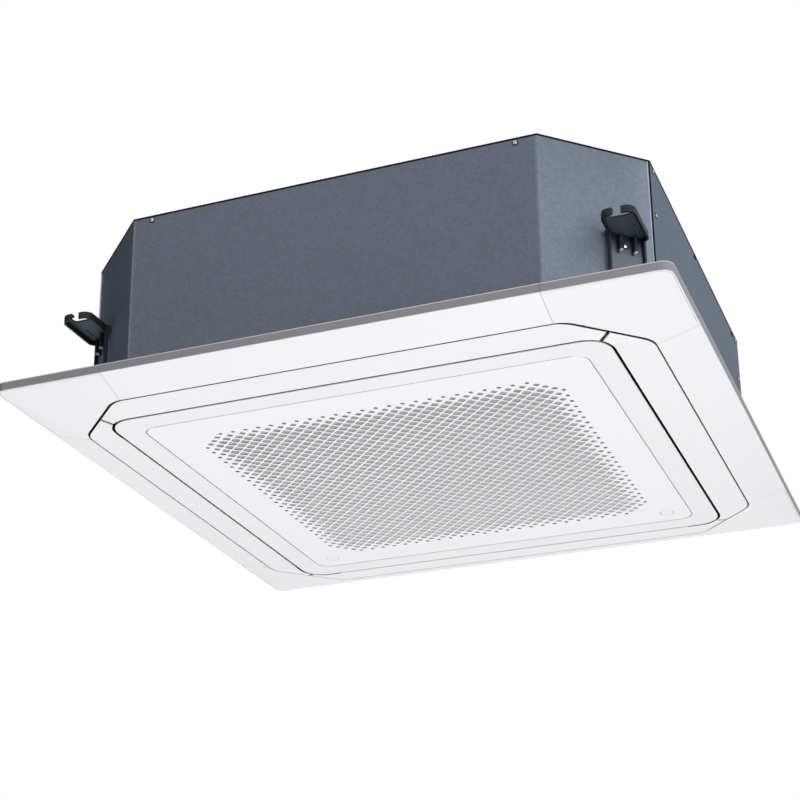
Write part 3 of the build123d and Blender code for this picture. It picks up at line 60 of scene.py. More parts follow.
camera_data = bpy.data.cameras.new("camera")
camera_data.sensor_width = sensor_width
camera_data.lens = focal_pixels / frame_pixels * sensor_width
camera_data.shift_x = (frame_pixels / 2 - centre_pixel_x) / frame_pixels
camera_data.shift_y = (centre_pixel_y - frame_pixels / 2) / frame_pixels
camera_data.clip_end = 60.0
camera = in_scene("camera", camera_data)
bpy.context.scene.camera = camera
forward = Vector((-math.sin(azimuth) * math.cos(tilt), math.cos(azimuth) * math.cos(tilt),
                  math.sin(tilt)))
right = Vector((math.cos(azimuth), math.sin(azimuth), 0.0))
upward = right.cross(forward)
right, upward = (right * math.cos(roll) + upward * math.sin(roll),
                 upward * math.cos(roll) - right * math.sin(roll))
turn = Matrix((right, upward, -forward)).transposed().to_4x4()
camera.matrix_world = Matrix.Translation(camera_place) @ turn

for name, place, aim, width, watts in (
        ("soft_box_below", (0.1, -0.35, -3.1), (0.0, 0.0, 0.0), 3.0, 92),
        ("soft_box_left", (-3.4, 2.6, -2.0), (0.0, 0.0, 0.0), 2.0, 6),
        ("soft_box_right", (2.8, -1.9, -0.3), (0.0, 0.0, 0.1), 1.5, 30),
        ("soft_box_above", (-1.0, 1.2, 3.4), (0.0, 0.0, 0.2), 2.4, 60)):
    lamp = bpy.data.lights.new(name, "AREA")
    lamp.size = width
    lamp.energy = watts
    box = in_scene(name, lamp)
    box.location = place
    box.rotation_mode = "QUATERNION"
    box.rotation_quaternion = (Vector(aim) - Vector(place)).to_track_quat("-Z", "Y")


def wired(tree, kind, values=None, **settings):
    """New shader node with its settings; an input, by name or number, is linked to an output socket or set to
    a number or a colour, and a colour of three numbers gets its alpha."""
    made = tree.nodes.new(kind)
    for name, value in settings.items():
        setattr(made, name, value)
    for name, value in (values or {}).items():
        socket = made.inputs[name]
        if isinstance(value, bpy.types.NodeSocket):
            tree.links.new(value, socket)
        elif hasattr(value, "__len__") and len(value) == 3 and len(socket.default_value) == 4:
            socket.default_value = (*value, 1.0)
        else:
            socket.default_value = value
    return made


def joined(tree, operation, *values):
    """One number from others, by a maths operation."""
    return wired(tree, "ShaderNodeMath", dict(enumerate(values)), operation=operation).outputs[0]


def bare_tree(owner):
    """Emptied node tree of a world or a material."""
    owner.use_nodes = True
    owner.node_tree.nodes.clear()
    return owner.node_tree


room = bpy.data.worlds.new("white_room")
bpy.context.scene.world = room
tree = bare_tree(room)
path = wired(tree, "ShaderNodeLightPath")
seen = joined(tree, "MAXIMUM", path.outputs["Is Camera Ray"], path.outputs["Is Glossy Ray"])
seen = joined(tree, "MAXIMUM", seen, path.outputs["Is Transmission Ray"])
soft = wired(tree, "ShaderNodeBackground", {"Color": (0.96, 0.98, 1.0), "Strength": 0.30})
white = wired(tree, "ShaderNodeBackground", {"Color": (1.0, 1.0, 1.0), "Strength": 1.0})
either = wired(tree, "ShaderNodeMixShader", {0: seen, 1: soft.outputs[0], 2: white.outputs[0]})
wired(tree, "ShaderNodeOutputWorld", {"Surface": either.outputs[0]})
bpy.context.scene.view_settings.view_transform = "Standard"


def grid_mesh(grids, wrap_u=False, wrap_v=False, capped=False):
    """Mesh from grids of points, each (rows, columns, 3): every cell is a quad, a wrapped side joins its last
    line to its first, and a cap is one face over the first row and one over the last."""
    points, faces = [], []
    for grid in grids:
        rows, columns = grid.shape[:2]
        index = len(points) + np.arange(rows * columns).reshape(rows, columns)
        if capped:
            faces += [index[0].tolist(), index[-1].tolist()]
        if wrap_u:
            index = np.concatenate([index, index[:1]], axis=0)
        if wrap_v:
            index = np.concatenate([index, index[:, :1]], axis=1)
        quads = np.stack([index[:-1, :-1], index[1:, :-1], index[1:, 1:], index[:-1, 1:]], axis=-1)
        faces += quads.reshape(-1, 4).tolist()
        points += grid.reshape(-1, 3).tolist()
    mesh = bpy.data.meshes.new("grid")
    mesh.from_pydata(points, [], faces)
    return mesh


floor_half, floor_level = 14.0, -4.2
floor_corners = [[(x, y, floor_level) for y in (-floor_half, floor_half)]
                 for x in (-floor_half, floor_half)]
floor = in_scene("floor", grid_mesh([np.array(floor_corners)]))
pale = bpy.data.materials.new("pale_floor")
tree = bare_tree(pale)
path = wired(tree, "ShaderNodeLightPath")
matt = wired(tree, "ShaderNodeBsdfDiffuse", {"Color": (0.86, 0.86, 0.87)})
glow = wired(tree, "ShaderNodeEmission", {"Color": (1.0, 1.0, 1.0)})
share = joined(tree, "MULTIPLY", path.outputs["Is Camera Ray"], 0.82)
both = wired(tree, "ShaderNodeMixShader", {0: share, 1: matt.outputs[0], 2: glow.outputs[0]})
wired(tree, "ShaderNodeOutputMaterial", {"Surface": both.outputs[0]})
floor.data.materials.append(pale)

# A black card beyond the left side keeps that side dark, and a pale blue one behind the right side lights the
# other a little; the camera itself doesn't see them.
for name, near, far, low, high, tone in (
        ("left_card", (-2.4, -2.4), (-1.9, 1.6), 0.1, 2.6, (0.01, 0.01, 0.01, 1)),
        ("right_card", (0.3, 3.0), (3.6, 3.0), 0.5, 3.6, (0.78, 0.88, 1.0, 1))):
    corners = np.array([[(*end, low), (*end, high)] for end in (near, far)])
    card = in_scene(name, grid_mesh([corners]))
    card.visible_camera = False
    paint = bpy.data.materials.new(name)
    paint.use_nodes = True
    paint.node_tree.nodes["Principled BSDF"].inputs["Base Color"].default_value = tone
    paint.node_tree.nodes["Principled BSDF"].inputs["Specular IOR Level"].default_value = 0.0
    card.data.materials.append(paint)

# ---- Casing ----
# Galvanised steel sheet about a millimetre thick, folded and screwed into an eight-sided tub under a flat lid.
# The zinc shows a fine bluish crystal pattern, with duller rubbed places and a little dust on the lid. The
# chamfers are painted lighter and the folds carry painted highlights: painted light.
body_half = 0.42
facet_reach = 0.7185
facet_corner = facet_reach - body_half
# Painted light on the sheet: the chamfers are painted lighter, with painted highlights by the lapped joints
# and folds.
chamfer_edge = facet_reach - 0.0015
fold_highlight_face, fold_highlight_end = body_half - 0.0012, facet_corner - 0.0040
lap_highlight_middle, lap_highlight_fade = 0.403, 0.026
chamfer_light_from, chamfer_light_to = 0.18, 0.28


def effect(name, inputs, outputs):
    """Empty shader node group; inputs are (name, kind, default) and outputs (name, kind)."""
    group = bpy.data.node_groups.new(name, "ShaderNodeTree")
    for title, kind, default in inputs:
        socket = group.interface.new_socket(title, in_out="INPUT", socket_type="NodeSocket" + kind)
        if default is not None:
            socket.default_value = default
    for title, kind in outputs:
        group.interface.new_socket(title, in_out="OUTPUT", socket_type="NodeSocket" + kind)
    return group, group.nodes.new("NodeGroupInput").outputs, group.nodes.new("NodeGroupOutput").inputs


def noise(tree, place, scale, detail, roughness=0.5):
    """Cloudy number between 0 and 1."""
    values = {"Vector": place, "Scale": scale, "Detail": detail, "Roughness": roughness}
    return wired(tree, "ShaderNodeTexNoise", values).outputs["Fac"]


def mapped(tree, value, low, high, to_low=0.0, to_high=1.0):
    """A number carried from one range to another and held at its ends."""
    values = {"Value": value, "From Min": low, "From Max": high, "To Min": to_low, "To Max": to_high}
    return wired(tree, "ShaderNodeMapRange", values).outputs[0]


def scaled(tree, shade, factor):
    """Colour times a number."""
    return wired(tree, "ShaderNodeVectorMath", {0: shade, "Scale": factor}, operation="SCALE").outputs[0]


def mixed(tree, mask, first, second):
    """Colour that goes from the first to the second by a mask."""
    return wired(tree, "ShaderNodeMix", {0: mask, 6: first, 7: second}, data_type="RGBA").outputs[2]


# Slow drift of tone over a surface: broad noise lightens and darkens a colour, and gives the mask it used.
tone_drift, into, out = effect(
    "tone_drift", [("Vector", "Vector", None), ("Color", "Color", (0.5, 0.5, 0.5, 1)), ("Scale", "Float", 4.0),
                   ("Amount", "Float", 0.05)], [("Color", "Color"), ("Mask", "Float")])
broad = noise(tone_drift, into["Vector"], into["Scale"], 5.0, 0.6)
swing = joined(tone_drift, "MULTIPLY", joined(tone_drift, "SUBTRACT", broad, 0.5), into["Amount"])
tinted = scaled(tone_drift, into["Color"], joined(tone_drift, "ADD", swing, 1.0))
tone_drift.links.new(tinted, out["Color"])
tone_drift.links.new(broad, out["Mask"])

# Fine skin of a surface: small noise as a bump, on top of edges rounded by the light alone.
fine_skin, into, out = effect("fine_skin", [("Vector", "Vector", None), ("Scale", "Float", 900.0),
                                            ("Strength", "Float", 0.2), ("Edge", "Float", 0.0004)],
                              [("Normal", "Vector")])
grain = noise(fine_skin, into["Vector"], into["Scale"], 2.0)
rounded = wired(fine_skin, "ShaderNodeBevel", {"Radius": into["Edge"]}, samples=4)
pitted = wired(fine_skin, "ShaderNodeBump", {"Height": grain, "Strength": into["Strength"], "Distance": 0.0003,
                                             "Normal": rounded.outputs[0]})
fine_skin.links.new(pitted.outputs[0], out["Normal"])

# Worn edges: where the rounded normal leaves the flat one, broken up by noise.
edge_wear, into, out = effect("edge_wear", [("Vector", "Vector", None), ("Radius", "Float", 0.0015),
                                            ("Amount", "Float", 0.5)], [("Mask", "Float")])
turned = wired(edge_wear, "ShaderNodeBevel", {"Radius": into["Radius"]}, samples=4)
flat = wired(edge_wear, "ShaderNodeNewGeometry")
alike = wired(edge_wear, "ShaderNodeVectorMath", {0: turned.outputs[0], 1: flat.outputs["Normal"]},
              operation="DOT_PRODUCT")
bend = mapped(edge_wear, alike.outputs["Value"], 0.995, 0.86)
torn = mapped(edge_wear, noise(edge_wear, into["Vector"], 160.0, 4.0), 0.42, 0.62)
worn = joined(edge_wear, "MULTIPLY", bend, torn)
edge_wear.links.new(joined(edge_wear, "MULTIPLY", worn, into["Amount"]), out["Mask"])

# Dust that settles on faces that look up.
settled_dust, into, out = effect("settled_dust", [("Vector", "Vector", None), ("Amount", "Float", 0.4)],
                                 [("Mask", "Float")])
facing = wired(settled_dust, "ShaderNodeNewGeometry")
axes = wired(settled_dust, "ShaderNodeSeparateXYZ", {0: facing.outputs["Normal"]})
level_faces = mapped(settled_dust, axes.outputs["Z"], 0.5, 0.95)
heaps = mapped(settled_dust, noise(settled_dust, into["Vector"], 14.0, 6.0, 0.65), 0.35, 0.75)
lying = joined(settled_dust, "MULTIPLY", level_faces, heaps)
settled_dust.links.new(joined(settled_dust, "MULTIPLY", lying, into["Amount"]), out["Mask"])


def placed(tree, group, **values):
    """A shared effect placed in a material with its own values."""
    return wired(tree, "ShaderNodeGroup", values, node_tree=group).outputs


dust_colour = (0.55, 0.53, 0.50)


def finish(name, colour, rough, drift=0.06, drift_scale=5.0, skin=0.15, skin_scale=900.0, edge=0.0004,
           wear=0.0, wear_colour=(0.7, 0.7, 0.72), dust=0.0, rough_swing=0.12, recolour=None, **principled):
    """Material with the shared effects: drifting tone, fine skin, worn edges and dust. What a recolour
    function paints comes under the wear and dust, and fixed values go on the shader itself."""
    material = bpy.data.materials.new(name)
    material.use_nodes = True
    tree = material.node_tree
    shader = tree.nodes["Principled BSDF"]
    place = tree.nodes.new("ShaderNodeTexCoord").outputs["Object"]
    tone = placed(tree, tone_drift, Vector=place, Color=colour, Scale=drift_scale, Amount=drift * 2)
    shade = recolour(tree, place, tone["Color"]) if recolour else tone["Color"]
    if wear > 0:
        rubbed = placed(tree, edge_wear, Vector=place, Amount=wear)["Mask"]
        shade = mixed(tree, rubbed, shade, wear_colour)
    if dust > 0:
        lying = placed(tree, settled_dust, Vector=place, Amount=dust)["Mask"]
        shade = mixed(tree, lying, shade, dust_colour)
    tree.links.new(shade, shader.inputs["Base Color"])
    smoothest, roughest = max(rough - rough_swing, 0.02), min(rough + rough_swing, 1.0)
    tree.links.new(mapped(tree, tone["Mask"], 0.0, 1.0, smoothest, roughest), shader.inputs["Roughness"])
    surface = placed(tree, fine_skin, Vector=place, Scale=skin_scale, Strength=skin, Edge=edge)
    tree.links.new(surface["Normal"], shader.inputs["Normal"])
    for socket, value in principled.items():
        shader.inputs[socket.replace("_", " ")].default_value = value
    return material


def above(tree, value, limit, width=0.0002):
    """Mask that is one where a value is above a limit, softened over a width."""
    return mapped(tree, value, limit - width / 2, limit + width / 2)


def below(tree, value, limit, width=0.0002):
    """Mask that is one where a value is below a limit, softened over a width."""
    return joined(tree, "SUBTRACT", 1.0, above(tree, value, limit, width))


def overlap(tree, first, *others):
    """Mask where all of several masks hold: their product."""
    for other in others:
        first = joined(tree, "MULTIPLY", first, other)
    return first


def plan_places(tree, place):
    """Height, |x| and |y| as sockets."""
    axes = wired(tree, "ShaderNodeSeparateXYZ", {0: place})
    return axes.outputs["Z"], *(joined(tree, "ABSOLUTE", axes.outputs[name]) for name in "XY")


def plan_reach(tree, place):
    """Height, the larger of |x| and |y|, their smaller, and |x| + |y|."""
    height, x, y = plan_places(tree, place)
    return height, *(joined(tree, operation, x, y) for operation in ("MAXIMUM", "MINIMUM", "ADD"))


def zinc_crystals(tree, place, shade):
    """Crystal pattern of galvanised steel: cells a few millimetres wide, each a little lighter or darker."""
    cells = wired(tree, "ShaderNodeTexVoronoi", {"Vector": place, "Scale": 230.0}, feature="F1")
    grey = wired(tree, "ShaderNodeSeparateColor", {0: cells.outputs["Color"]})
    lift = mapped(tree, grey.outputs[0], 0.0, 1.0, 0.93, 1.08)
    speck = mapped(tree, noise(tree, place, 1400.0, 2.0), 0.3, 0.7, 0.94, 1.06)
    return scaled(tree, shade, joined(tree, "MULTIPLY", lift, speck))


def sheet_tones_and_painted_light(tree, place, shade):
    """Crystals, with painted light: the four chamfer sheets are painted lighter, less so towards the lid, with
    a painted highlight beside the lapped joint at the side faces and along the folded upright edges of the
    sides."""
    height, x, y = plan_places(tree, place)
    chamfer = above(tree, joined(tree, "ADD", x, y), chamfer_edge)
    lap_highlight = overlap(tree, chamfer, above(tree, x, lap_highlight_middle, lap_highlight_fade))
    fold_highlight = overlap(tree, above(tree, joined(tree, "MAXIMUM", x, y), fold_highlight_face),
                   above(tree, joined(tree, "MINIMUM", x, y), fold_highlight_end))
    chamfer_light = mapped(tree, height, chamfer_light_from, chamfer_light_to, 0.42, 0.28)
    lift = 1.0
    for mask, amount in ((chamfer, chamfer_light), (lap_highlight, 0.30), (fold_highlight, 0.22)):
        lift = joined(tree, "MULTIPLY_ADD", mask, amount, lift)
    return scaled(tree, zinc_crystals(tree, place, shade), lift)


def dress(material, *names):
    """Give CAD nodes a material."""
    for name in names:
        nodes[name].data.materials.clear()
        nodes[name].data.materials.append(material)


galvanised = finish("galvanised_sheet", (0.160, 0.190, 0.238), 0.48, drift=0.05, drift_scale=6.0, skin=0.10,
                    skin_scale=700.0, edge=0.0012, wear=0.3, wear_colour=(0.42, 0.45, 0.50), dust=0.3,
                    recolour=sheet_tones_and_painted_light, Metallic=0.45, IOR=1.45)
dress(galvanised, "casing_shell", "top_plate", "pipe_cover_plate", "bell_mouth", "electrical_box",
      "electrical_cover", "pump_bracket")


def piece_from(name, mesh, body, material, smooth=True):
    """Object at the origin that rides on a CAD body, with its finish in its material slot: its doubles are
    merged, its faces turned outwards, and its smooth shading split at sharp edges."""
    build = bmesh.new()
    build.from_mesh(mesh)
    bmesh.ops.remove_doubles(build, verts=build.verts, dist=1e-6)
    bmesh.ops.recalc_face_normals(build, faces=build.faces)
    build.to_mesh(mesh)
    build.free()
    piece = in_scene(name, mesh)
    if smooth:
        mesh.shade_smooth()
        mesh.set_sharp_from_angle(angle=math.radians(32))
    mesh.materials.append(material)
    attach(piece, body)
    return piece


def carried(path, outward, profile):
    """Grid of a profile carried along a path: path + outward * profile[:, 0] + up * profile[:, 1]."""
    up = np.array([0.0, 0.0, 1.0])
    return path[:, None, :] + outward[:, None, :] * profile[None, :, :1] + up * profile[None, :, 1:]


def octagon_path(half, reach, height):
    """Corners of a chamfered square, and the outward direction at each, as long as keeps an offset's walls
    parallel: the sum of its two walls' normals over one plus their product."""
    corner = reach - half
    xy = np.array([(corner, -half), (half, -corner), (half, corner), (corner, half),
                   (-corner, half), (-half, corner), (-half, -corner), (-corner, -half)])
    along = np.roll(xy, -1, axis=0) - xy
    normal = np.stack([along[:, 1], -along[:, 0]], axis=1) / np.linalg.norm(along, axis=1)[:, None]
    before = np.roll(normal, 1, axis=0)
    outward = (normal + before) / (1 + (normal * before).sum(axis=1))[:, None]
    flat = np.zeros((8, 1))
    return np.hstack([xy, flat + height]), np.hstack([outward, flat])


# The lid's hem: the sheet is turned over along the top edge, and the hem is painted near-black as painted
# shade along the top of the walls.
hem_level, hem_half, hem_bulge, hem_inset = 0.2820, 0.0015, 0.0008, 0.0004
hem_turn = np.linspace(-0.5 * np.pi, 0.5 * np.pi, 9)
hem_profile = np.concatenate([np.stack([hem_bulge * np.cos(hem_turn), hem_half * np.sin(hem_turn)], axis=1),
                              [[-hem_inset, hem_half], [-hem_inset, -hem_half]]])
hem_grid = carried(*octagon_path(body_half, facet_reach, hem_level), hem_profile)
# A near-black, weakly glossy material that paints shade: on the hem, in the seam gaps and in the clip slots.
painted_shade_black = finish("painted_shade_black", (0.010, 0.013, 0.018), 0.7, drift=0.1, skin=0.2, Specular_IOR_Level=0.12)
hem_mesh = grid_mesh([hem_grid], wrap_u=True, wrap_v=True)
piece_from("lid_hem", hem_mesh, "unit", painted_shade_black)


def closed_tube(tubes):
    """Mesh of several closed tubes, each a grid (stations, round, 3), with a face over each end."""
    return grid_mesh(tubes, wrap_v=True, capped=True)


seam_foot, seam_top = 0.0384, 0.2800


def seam_strips(middle, half, rise, sink):
    """Upright strips on the chamfers, one beside each corner of the side faces: the section is a half ellipse
    with a flat foot sunk into the sheet, its middle a distance from the corner along the chamfer."""
    turn = np.linspace(0, np.pi, 9)
    section = np.concatenate([np.stack([middle + half * np.cos(turn), rise * np.sin(turn)], axis=1),
                              [[middle - half, -sink], [middle + half, -sink]]])
    levels = np.linspace(seam_foot, seam_top, 3)
    strips = []
    for side, end in ((-1, -1), (-1, 1), (1, -1), (1, 1)):
        along, out = np.array([side, -end]) / math.sqrt(2), np.array([side, end]) / math.sqrt(2)
        corner = np.array([side * body_half, end * facet_corner])
        ring = corner + section[:, :1] * along + section[:, 1:] * out
        strips.append(np.concatenate([np.broadcast_to(ring, (3, *ring.shape)),
                                      np.broadcast_to(levels[:, None, None], (3, len(ring), 1))], axis=2))
    return strips


# Lap seams: each chamfer sheet ends in a rounded edge that stands a millimetre proud a little before the side
# sheet, painted far lighter than the sheet as a painted highlight, with a near-black bead between the two as
# painted shade in the gap.
# A pale zinc that paints the highlight on the rounded edges.
painted_highlight_zinc = finish("painted_highlight_zinc", (0.60, 0.66, 0.74), 0.4, drift=0.08, skin=0.15, recolour=zinc_crystals,
                     Metallic=0.4)
folded_edges = seam_strips(middle=-0.0041, half=0.0011, rise=0.0012, sink=0.0004)
piece_from("lap_seams", closed_tube(folded_edges), "unit", painted_highlight_zinc)
# Near-black beads beside each corner of the side faces: painted shade in the gap.
gap_shade_beads = seam_strips(middle=-0.0014, half=0.0017, rise=0.0006, sink=0.0003)
piece_from("seam_gap_shade", closed_tube(gap_shade_beads), "unit", painted_shade_black)

# Lid clips: pressed slots along the top of each side face, where the lid's tabs hook in, shown as near-black
# plates: painted shade in the slots. Their outline is a rounded box, |cos| and |sin| to the power 0.4, in
# three layers from inside the sheet to just off it.
clip_half_width, clip_half_height, clip_level = 0.0065, 0.0030, 0.2765
clip_turn = np.linspace(0, 2 * np.pi, 25)[:-1]
clip_across, clip_up = (np.sign(wave) * np.abs(wave) ** 0.4
                        for wave in (np.cos(clip_turn), np.sin(clip_turn)))
clip_layers = ((-0.0002, 1.0, 1.0), (0.0004, 1.0, 1.0), (0.0007, 0.9, 0.8))
clips = []
for side in (-1, 1):
    for middle in (-0.02, 0.255):
        layers = [np.stack([0 * clip_turn + side * (body_half + proud),
                            middle + clip_half_width * width * clip_across,
                            clip_level + clip_half_height * tall * clip_up], axis=1)
                  for proud, width, tall in clip_layers]
        clips.append(np.stack(layers))
piece_from("lid_clips", closed_tube(clips), "unit", painted_shade_black)

# ---- Screws ----
# Zinc plated pan heads with a cross recess, each on a dark washer. They hold the casing's sheets together and
# the hangers' back plates to the chamfers.
zinc_plate = finish("zinc_plate", (0.55, 0.56, 0.58), 0.20, drift=0.1, skin=0.1, wear=0.2, edge=0.0002,
                    Metallic=1.0)
black_washer = finish("black_washer", (0.015, 0.015, 0.017), 0.55, skin=0.3)


def screw_head(radius, height, washer, recess=0.55):
    """Grid over (distance from the axis, angle): a washer, then a dome that falls off as distance ^ 2.4, with
    a cross sunk into its middle where min(|x|, |y|) is small."""
    share = np.linspace(0.9, 0.0, 12)
    distance = np.concatenate([[washer, washer, washer * 0.97, radius * 1.04, radius, radius * 0.98],
                               share * radius])
    base = np.concatenate([[-0.0002, 0.0004, 0.0006, 0.0006, 0.0007, height * 0.62],
                           height * (1 - 0.42 * share ** 2.4)])
    angle = np.linspace(0, 2 * np.pi, 49)[:-1]
    x, y = distance[:, None] * np.cos(angle), distance[:, None] * np.sin(angle)
    arm = np.clip((0.17 * radius - np.minimum(np.abs(x), np.abs(y))) / (0.08 * radius), 0, 1)
    reach = np.clip((0.62 * radius - distance[:, None]) / (0.12 * radius), 0, 1)
    return np.stack([x, y, base[:, None] - recess * height * arm * reach], axis=2)


def solid_middles(node, spacing=0.016):
    """Middle of each separate solid of a CAD node: vertices nearer together than the spacing belong to one."""
    vertices = np.array([vertex.co for vertex in nodes[node].data.vertices])
    middles = []
    while len(vertices):
        near = np.linalg.norm(vertices - vertices[0], axis=1) < spacing
        middles.append((vertices[near].min(axis=0) + vertices[near].max(axis=0)) / 2)
        vertices = vertices[~near]
    return middles


def screw_heads(name, node, head, dome_radius, place_of):
    """Heads in place of a node's screws, one for each of its solids, turned to its way out; the faces further
    from the axis than the dome are the black washer's."""
    places, ways = zip(*(place_of(middle) for middle in solid_middles(node)))
    turns = [np.array(Vector(way).to_track_quat("Z", "Y").to_matrix()) for way in ways]
    heads = [head @ turn.T + place for turn, place in zip(turns, places)]
    piece = piece_from(name, closed_tube(heads), "unit", zinc_plate)
    piece.data.materials.append(black_washer)
    centre = np.array([face.center for face in piece.data.polygons])
    offset = centre[:, None] - np.array(places)[None]
    across = np.linalg.norm(np.cross(offset, np.array(ways)[None]), axis=2)
    nearest = np.argmin(np.linalg.norm(offset, axis=2), axis=1)
    outside = across[np.arange(len(centre)), nearest] > dome_radius
    piece.data.polygons.foreach_set("material_index", outside.astype(np.int32))
    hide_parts(node)


def on_wall(middle):
    """Point on the nearest upright face of the casing, with the way out of it."""
    side = 0 if abs(middle[0]) > abs(middle[1]) else 1
    way, spot = np.zeros(3), middle.copy()
    way[side] = np.sign(middle[side])
    spot[side] = way[side] * (body_half + 0.0001)
    return spot, way


def on_hanger(middle, plate_thickness=0.0031):
    """Point on the face of a hanger's back plate, with the way out of the chamfer."""
    way = np.array([np.sign(middle[0]), np.sign(middle[1]), 0.0]) / math.sqrt(2)
    return middle + way * (facet_reach / math.sqrt(2) + plate_thickness - middle @ way), way


screw_heads("casing_heads", "casing_screws", screw_head(0.0030, 0.0019, 0.0046), 0.0031, on_wall)
screw_heads("hanger_heads", "hanger_screws", screw_head(0.0036, 0.0022, 0.0050), 0.0037, on_hanger)
dress(zinc_plate, "panel_screws", "motor_bolts", "bell_mouth_screws", "motor_shaft", "fan_nut",
      "grille_hinge_pins")

# ---- Hangers ----
# Pressed from 3 mm steel with a near-black coat: a channel screwed to the chamfer, with a hook plate on top
# whose T-slot takes the hanging rod. The cut and folded edges are rounded and rubbed lighter, the rubbing set
# strong enough to serve also as painted highlights along them.
unit_corners = ("front_left", "front_right", "rear_left", "rear_right")
hook_level, skirt_low, skirt_high, claw_tip = 0.1535, 0.1485, 0.1512, 0.1306
plate_face, claw_face, skirt_face = 0.7233, 0.7280, 0.7450
slot_offset, claw_half = 0.0537, 0.022
bare_from, bare_to = 0.150, 0.126
# Painted light on the hangers: a lighter underside, a black shade line on the skirt, glints on the claws, and
# a plate lightened against the shade under the hook.
underside_light, skirt_edge_shade, bare_grey_painted_lighter, claw_glint = (
    (0.16, 0.21, 0.235), (0.006, 0.008, 0.010), (0.245, 0.275, 0.330), (0.80, 0.82, 0.85))


def softened(name, node, width, body, material, segments=2):
    """Copy of a CAD node with its loose triangles merged, flat faces joined, and edges rounded by a bevel."""
    mesh = nodes[node].data.copy()
    mesh.materials.clear()
    mesh.materials.append(material)
    build = bmesh.new()
    build.from_mesh(mesh)
    bmesh.ops.remove_doubles(build, verts=build.verts, dist=2e-6)
    bmesh.ops.dissolve_limit(build, angle_limit=math.radians(1.0), verts=build.verts, edges=build.edges)
    build.to_mesh(mesh)
    build.free()
    if "custom_normal" in mesh.attributes:
        mesh.attributes.remove(mesh.attributes["custom_normal"])
    piece = in_scene(name, mesh)
    bevel = piece.modifiers.new("soft_edges", "BEVEL")
    bevel.width = width
    bevel.segments = segments
    bevel.limit_method = "ANGLE"
    bevel.angle_limit = math.radians(28)
    mesh.shade_smooth()
    mesh.set_sharp_from_angle(angle=math.radians(40))
    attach(piece, body)
    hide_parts(node)


def hanger_tones_and_painted_light(tree, place, shade):
    """The channel's back plate is bare grey sheet, painted lighter to make up for the hook's shade over it,
    fading into the dark coat towards the hook; the hook's underside is painted lighter than its skirt as
    painted light from below, the skirt's lower edge gets a black line of painted shade, and the claws' ends a
    painted highlight."""
    height, x, y = plan_places(tree, place)
    proud = joined(tree, "ADD", x, y)
    normal = wired(tree, "ShaderNodeNewGeometry").outputs["Normal"]
    facing = wired(tree, "ShaderNodeSeparateXYZ", {0: normal}).outputs["Z"]
    under = above(tree, joined(tree, "MULTIPLY", facing, -1.0), 0.7, 0.2)
    shade = mixed(tree, overlap(tree, under, above(tree, height, hook_level)), shade, underside_light)
    cut = overlap(tree, above(tree, height, skirt_low), above(tree, proud, skirt_face),
                  below(tree, height, skirt_high, 0.0004))
    shade = mixed(tree, cut, shade, skirt_edge_shade)
    plate = overlap(tree, below(tree, proud, plate_face), mapped(tree, height, bare_from, bare_to))
    shade = mixed(tree, plate, shade, bare_grey_painted_lighter)
    along = joined(tree, "SUBTRACT", joined(tree, "SUBTRACT", x, y), slot_offset)
    claw = overlap(tree, below(tree, joined(tree, "ABSOLUTE", along), claw_half),
                   above(tree, proud, claw_face))
    return mixed(tree, overlap(tree, below(tree, height, claw_tip), claw), shade, claw_glint)


black_coat = finish("black_coat", (0.020, 0.029, 0.036), 0.45, drift=0.15, skin=0.35, skin_scale=500.0,
                    edge=0.0006, wear=0.35, wear_colour=(0.26, 0.29, 0.32), dust=0.05, recolour=hanger_tones_and_painted_light,
                    Specular_IOR_Level=0.3)
for corner in unit_corners:
    softened("hanger_" + corner + "_coated", "hanger_" + corner, 0.0007, "unit", black_coat)

# ---- Panel ----
# Injection-moulded satin white plastic: a deep rim with four slopes, corner covers that hide the hanging nuts,
# a fixed ring round the grille, and four air vanes between them.
cover_joint = 0.3090
slope_inner, slope_corner = 0.4163, 0.7460
band_face, band_corner, band_foot, band_top = 0.4742, 0.9335, 0.0210, 0.0322
lining_foot, lining_straight = 0.0058, 0.700
vane_inner, vane_corner, vane_outer, vane_mitre = 0.3622, 0.3060, 0.4120, 0.0045
ring_side, ring_face = 0.3568, 0.0013
# Painted light on the white plastic: black and grey painted shade for the outlet gaps and the upright band, a
# white painted highlight along the band's top, and a grey painted shade line at the covers' joints.
panel_white, gap_shade_black, lining_shade_grey = (0.84, 0.84, 0.85), (0.015, 0.015, 0.017), (0.20, 0.20, 0.21)
band_shade_grey, band_highlight_white, joint_shade_grey = (0.40, 0.40, 0.41), (0.95, 0.95, 0.96), (0.12, 0.12, 0.13)


def joint_line(tree, smaller, half_width):
    """Mask of the fine joints between the rim and its corner covers."""
    return overlap(tree, above(tree, smaller, cover_joint - half_width),
                   below(tree, smaller, cover_joint + half_width))


def joint_shadow(tree, place, shade):
    """A soft dark line along the fine joints between the rim and its corner covers."""
    _, larger, smaller, _ = plan_reach(tree, place)
    line = overlap(tree, joint_line(tree, smaller, 0.0005), above(tree, larger, slope_inner))
    return mixed(tree, line, shade, scaled(tree, shade, 0.72))


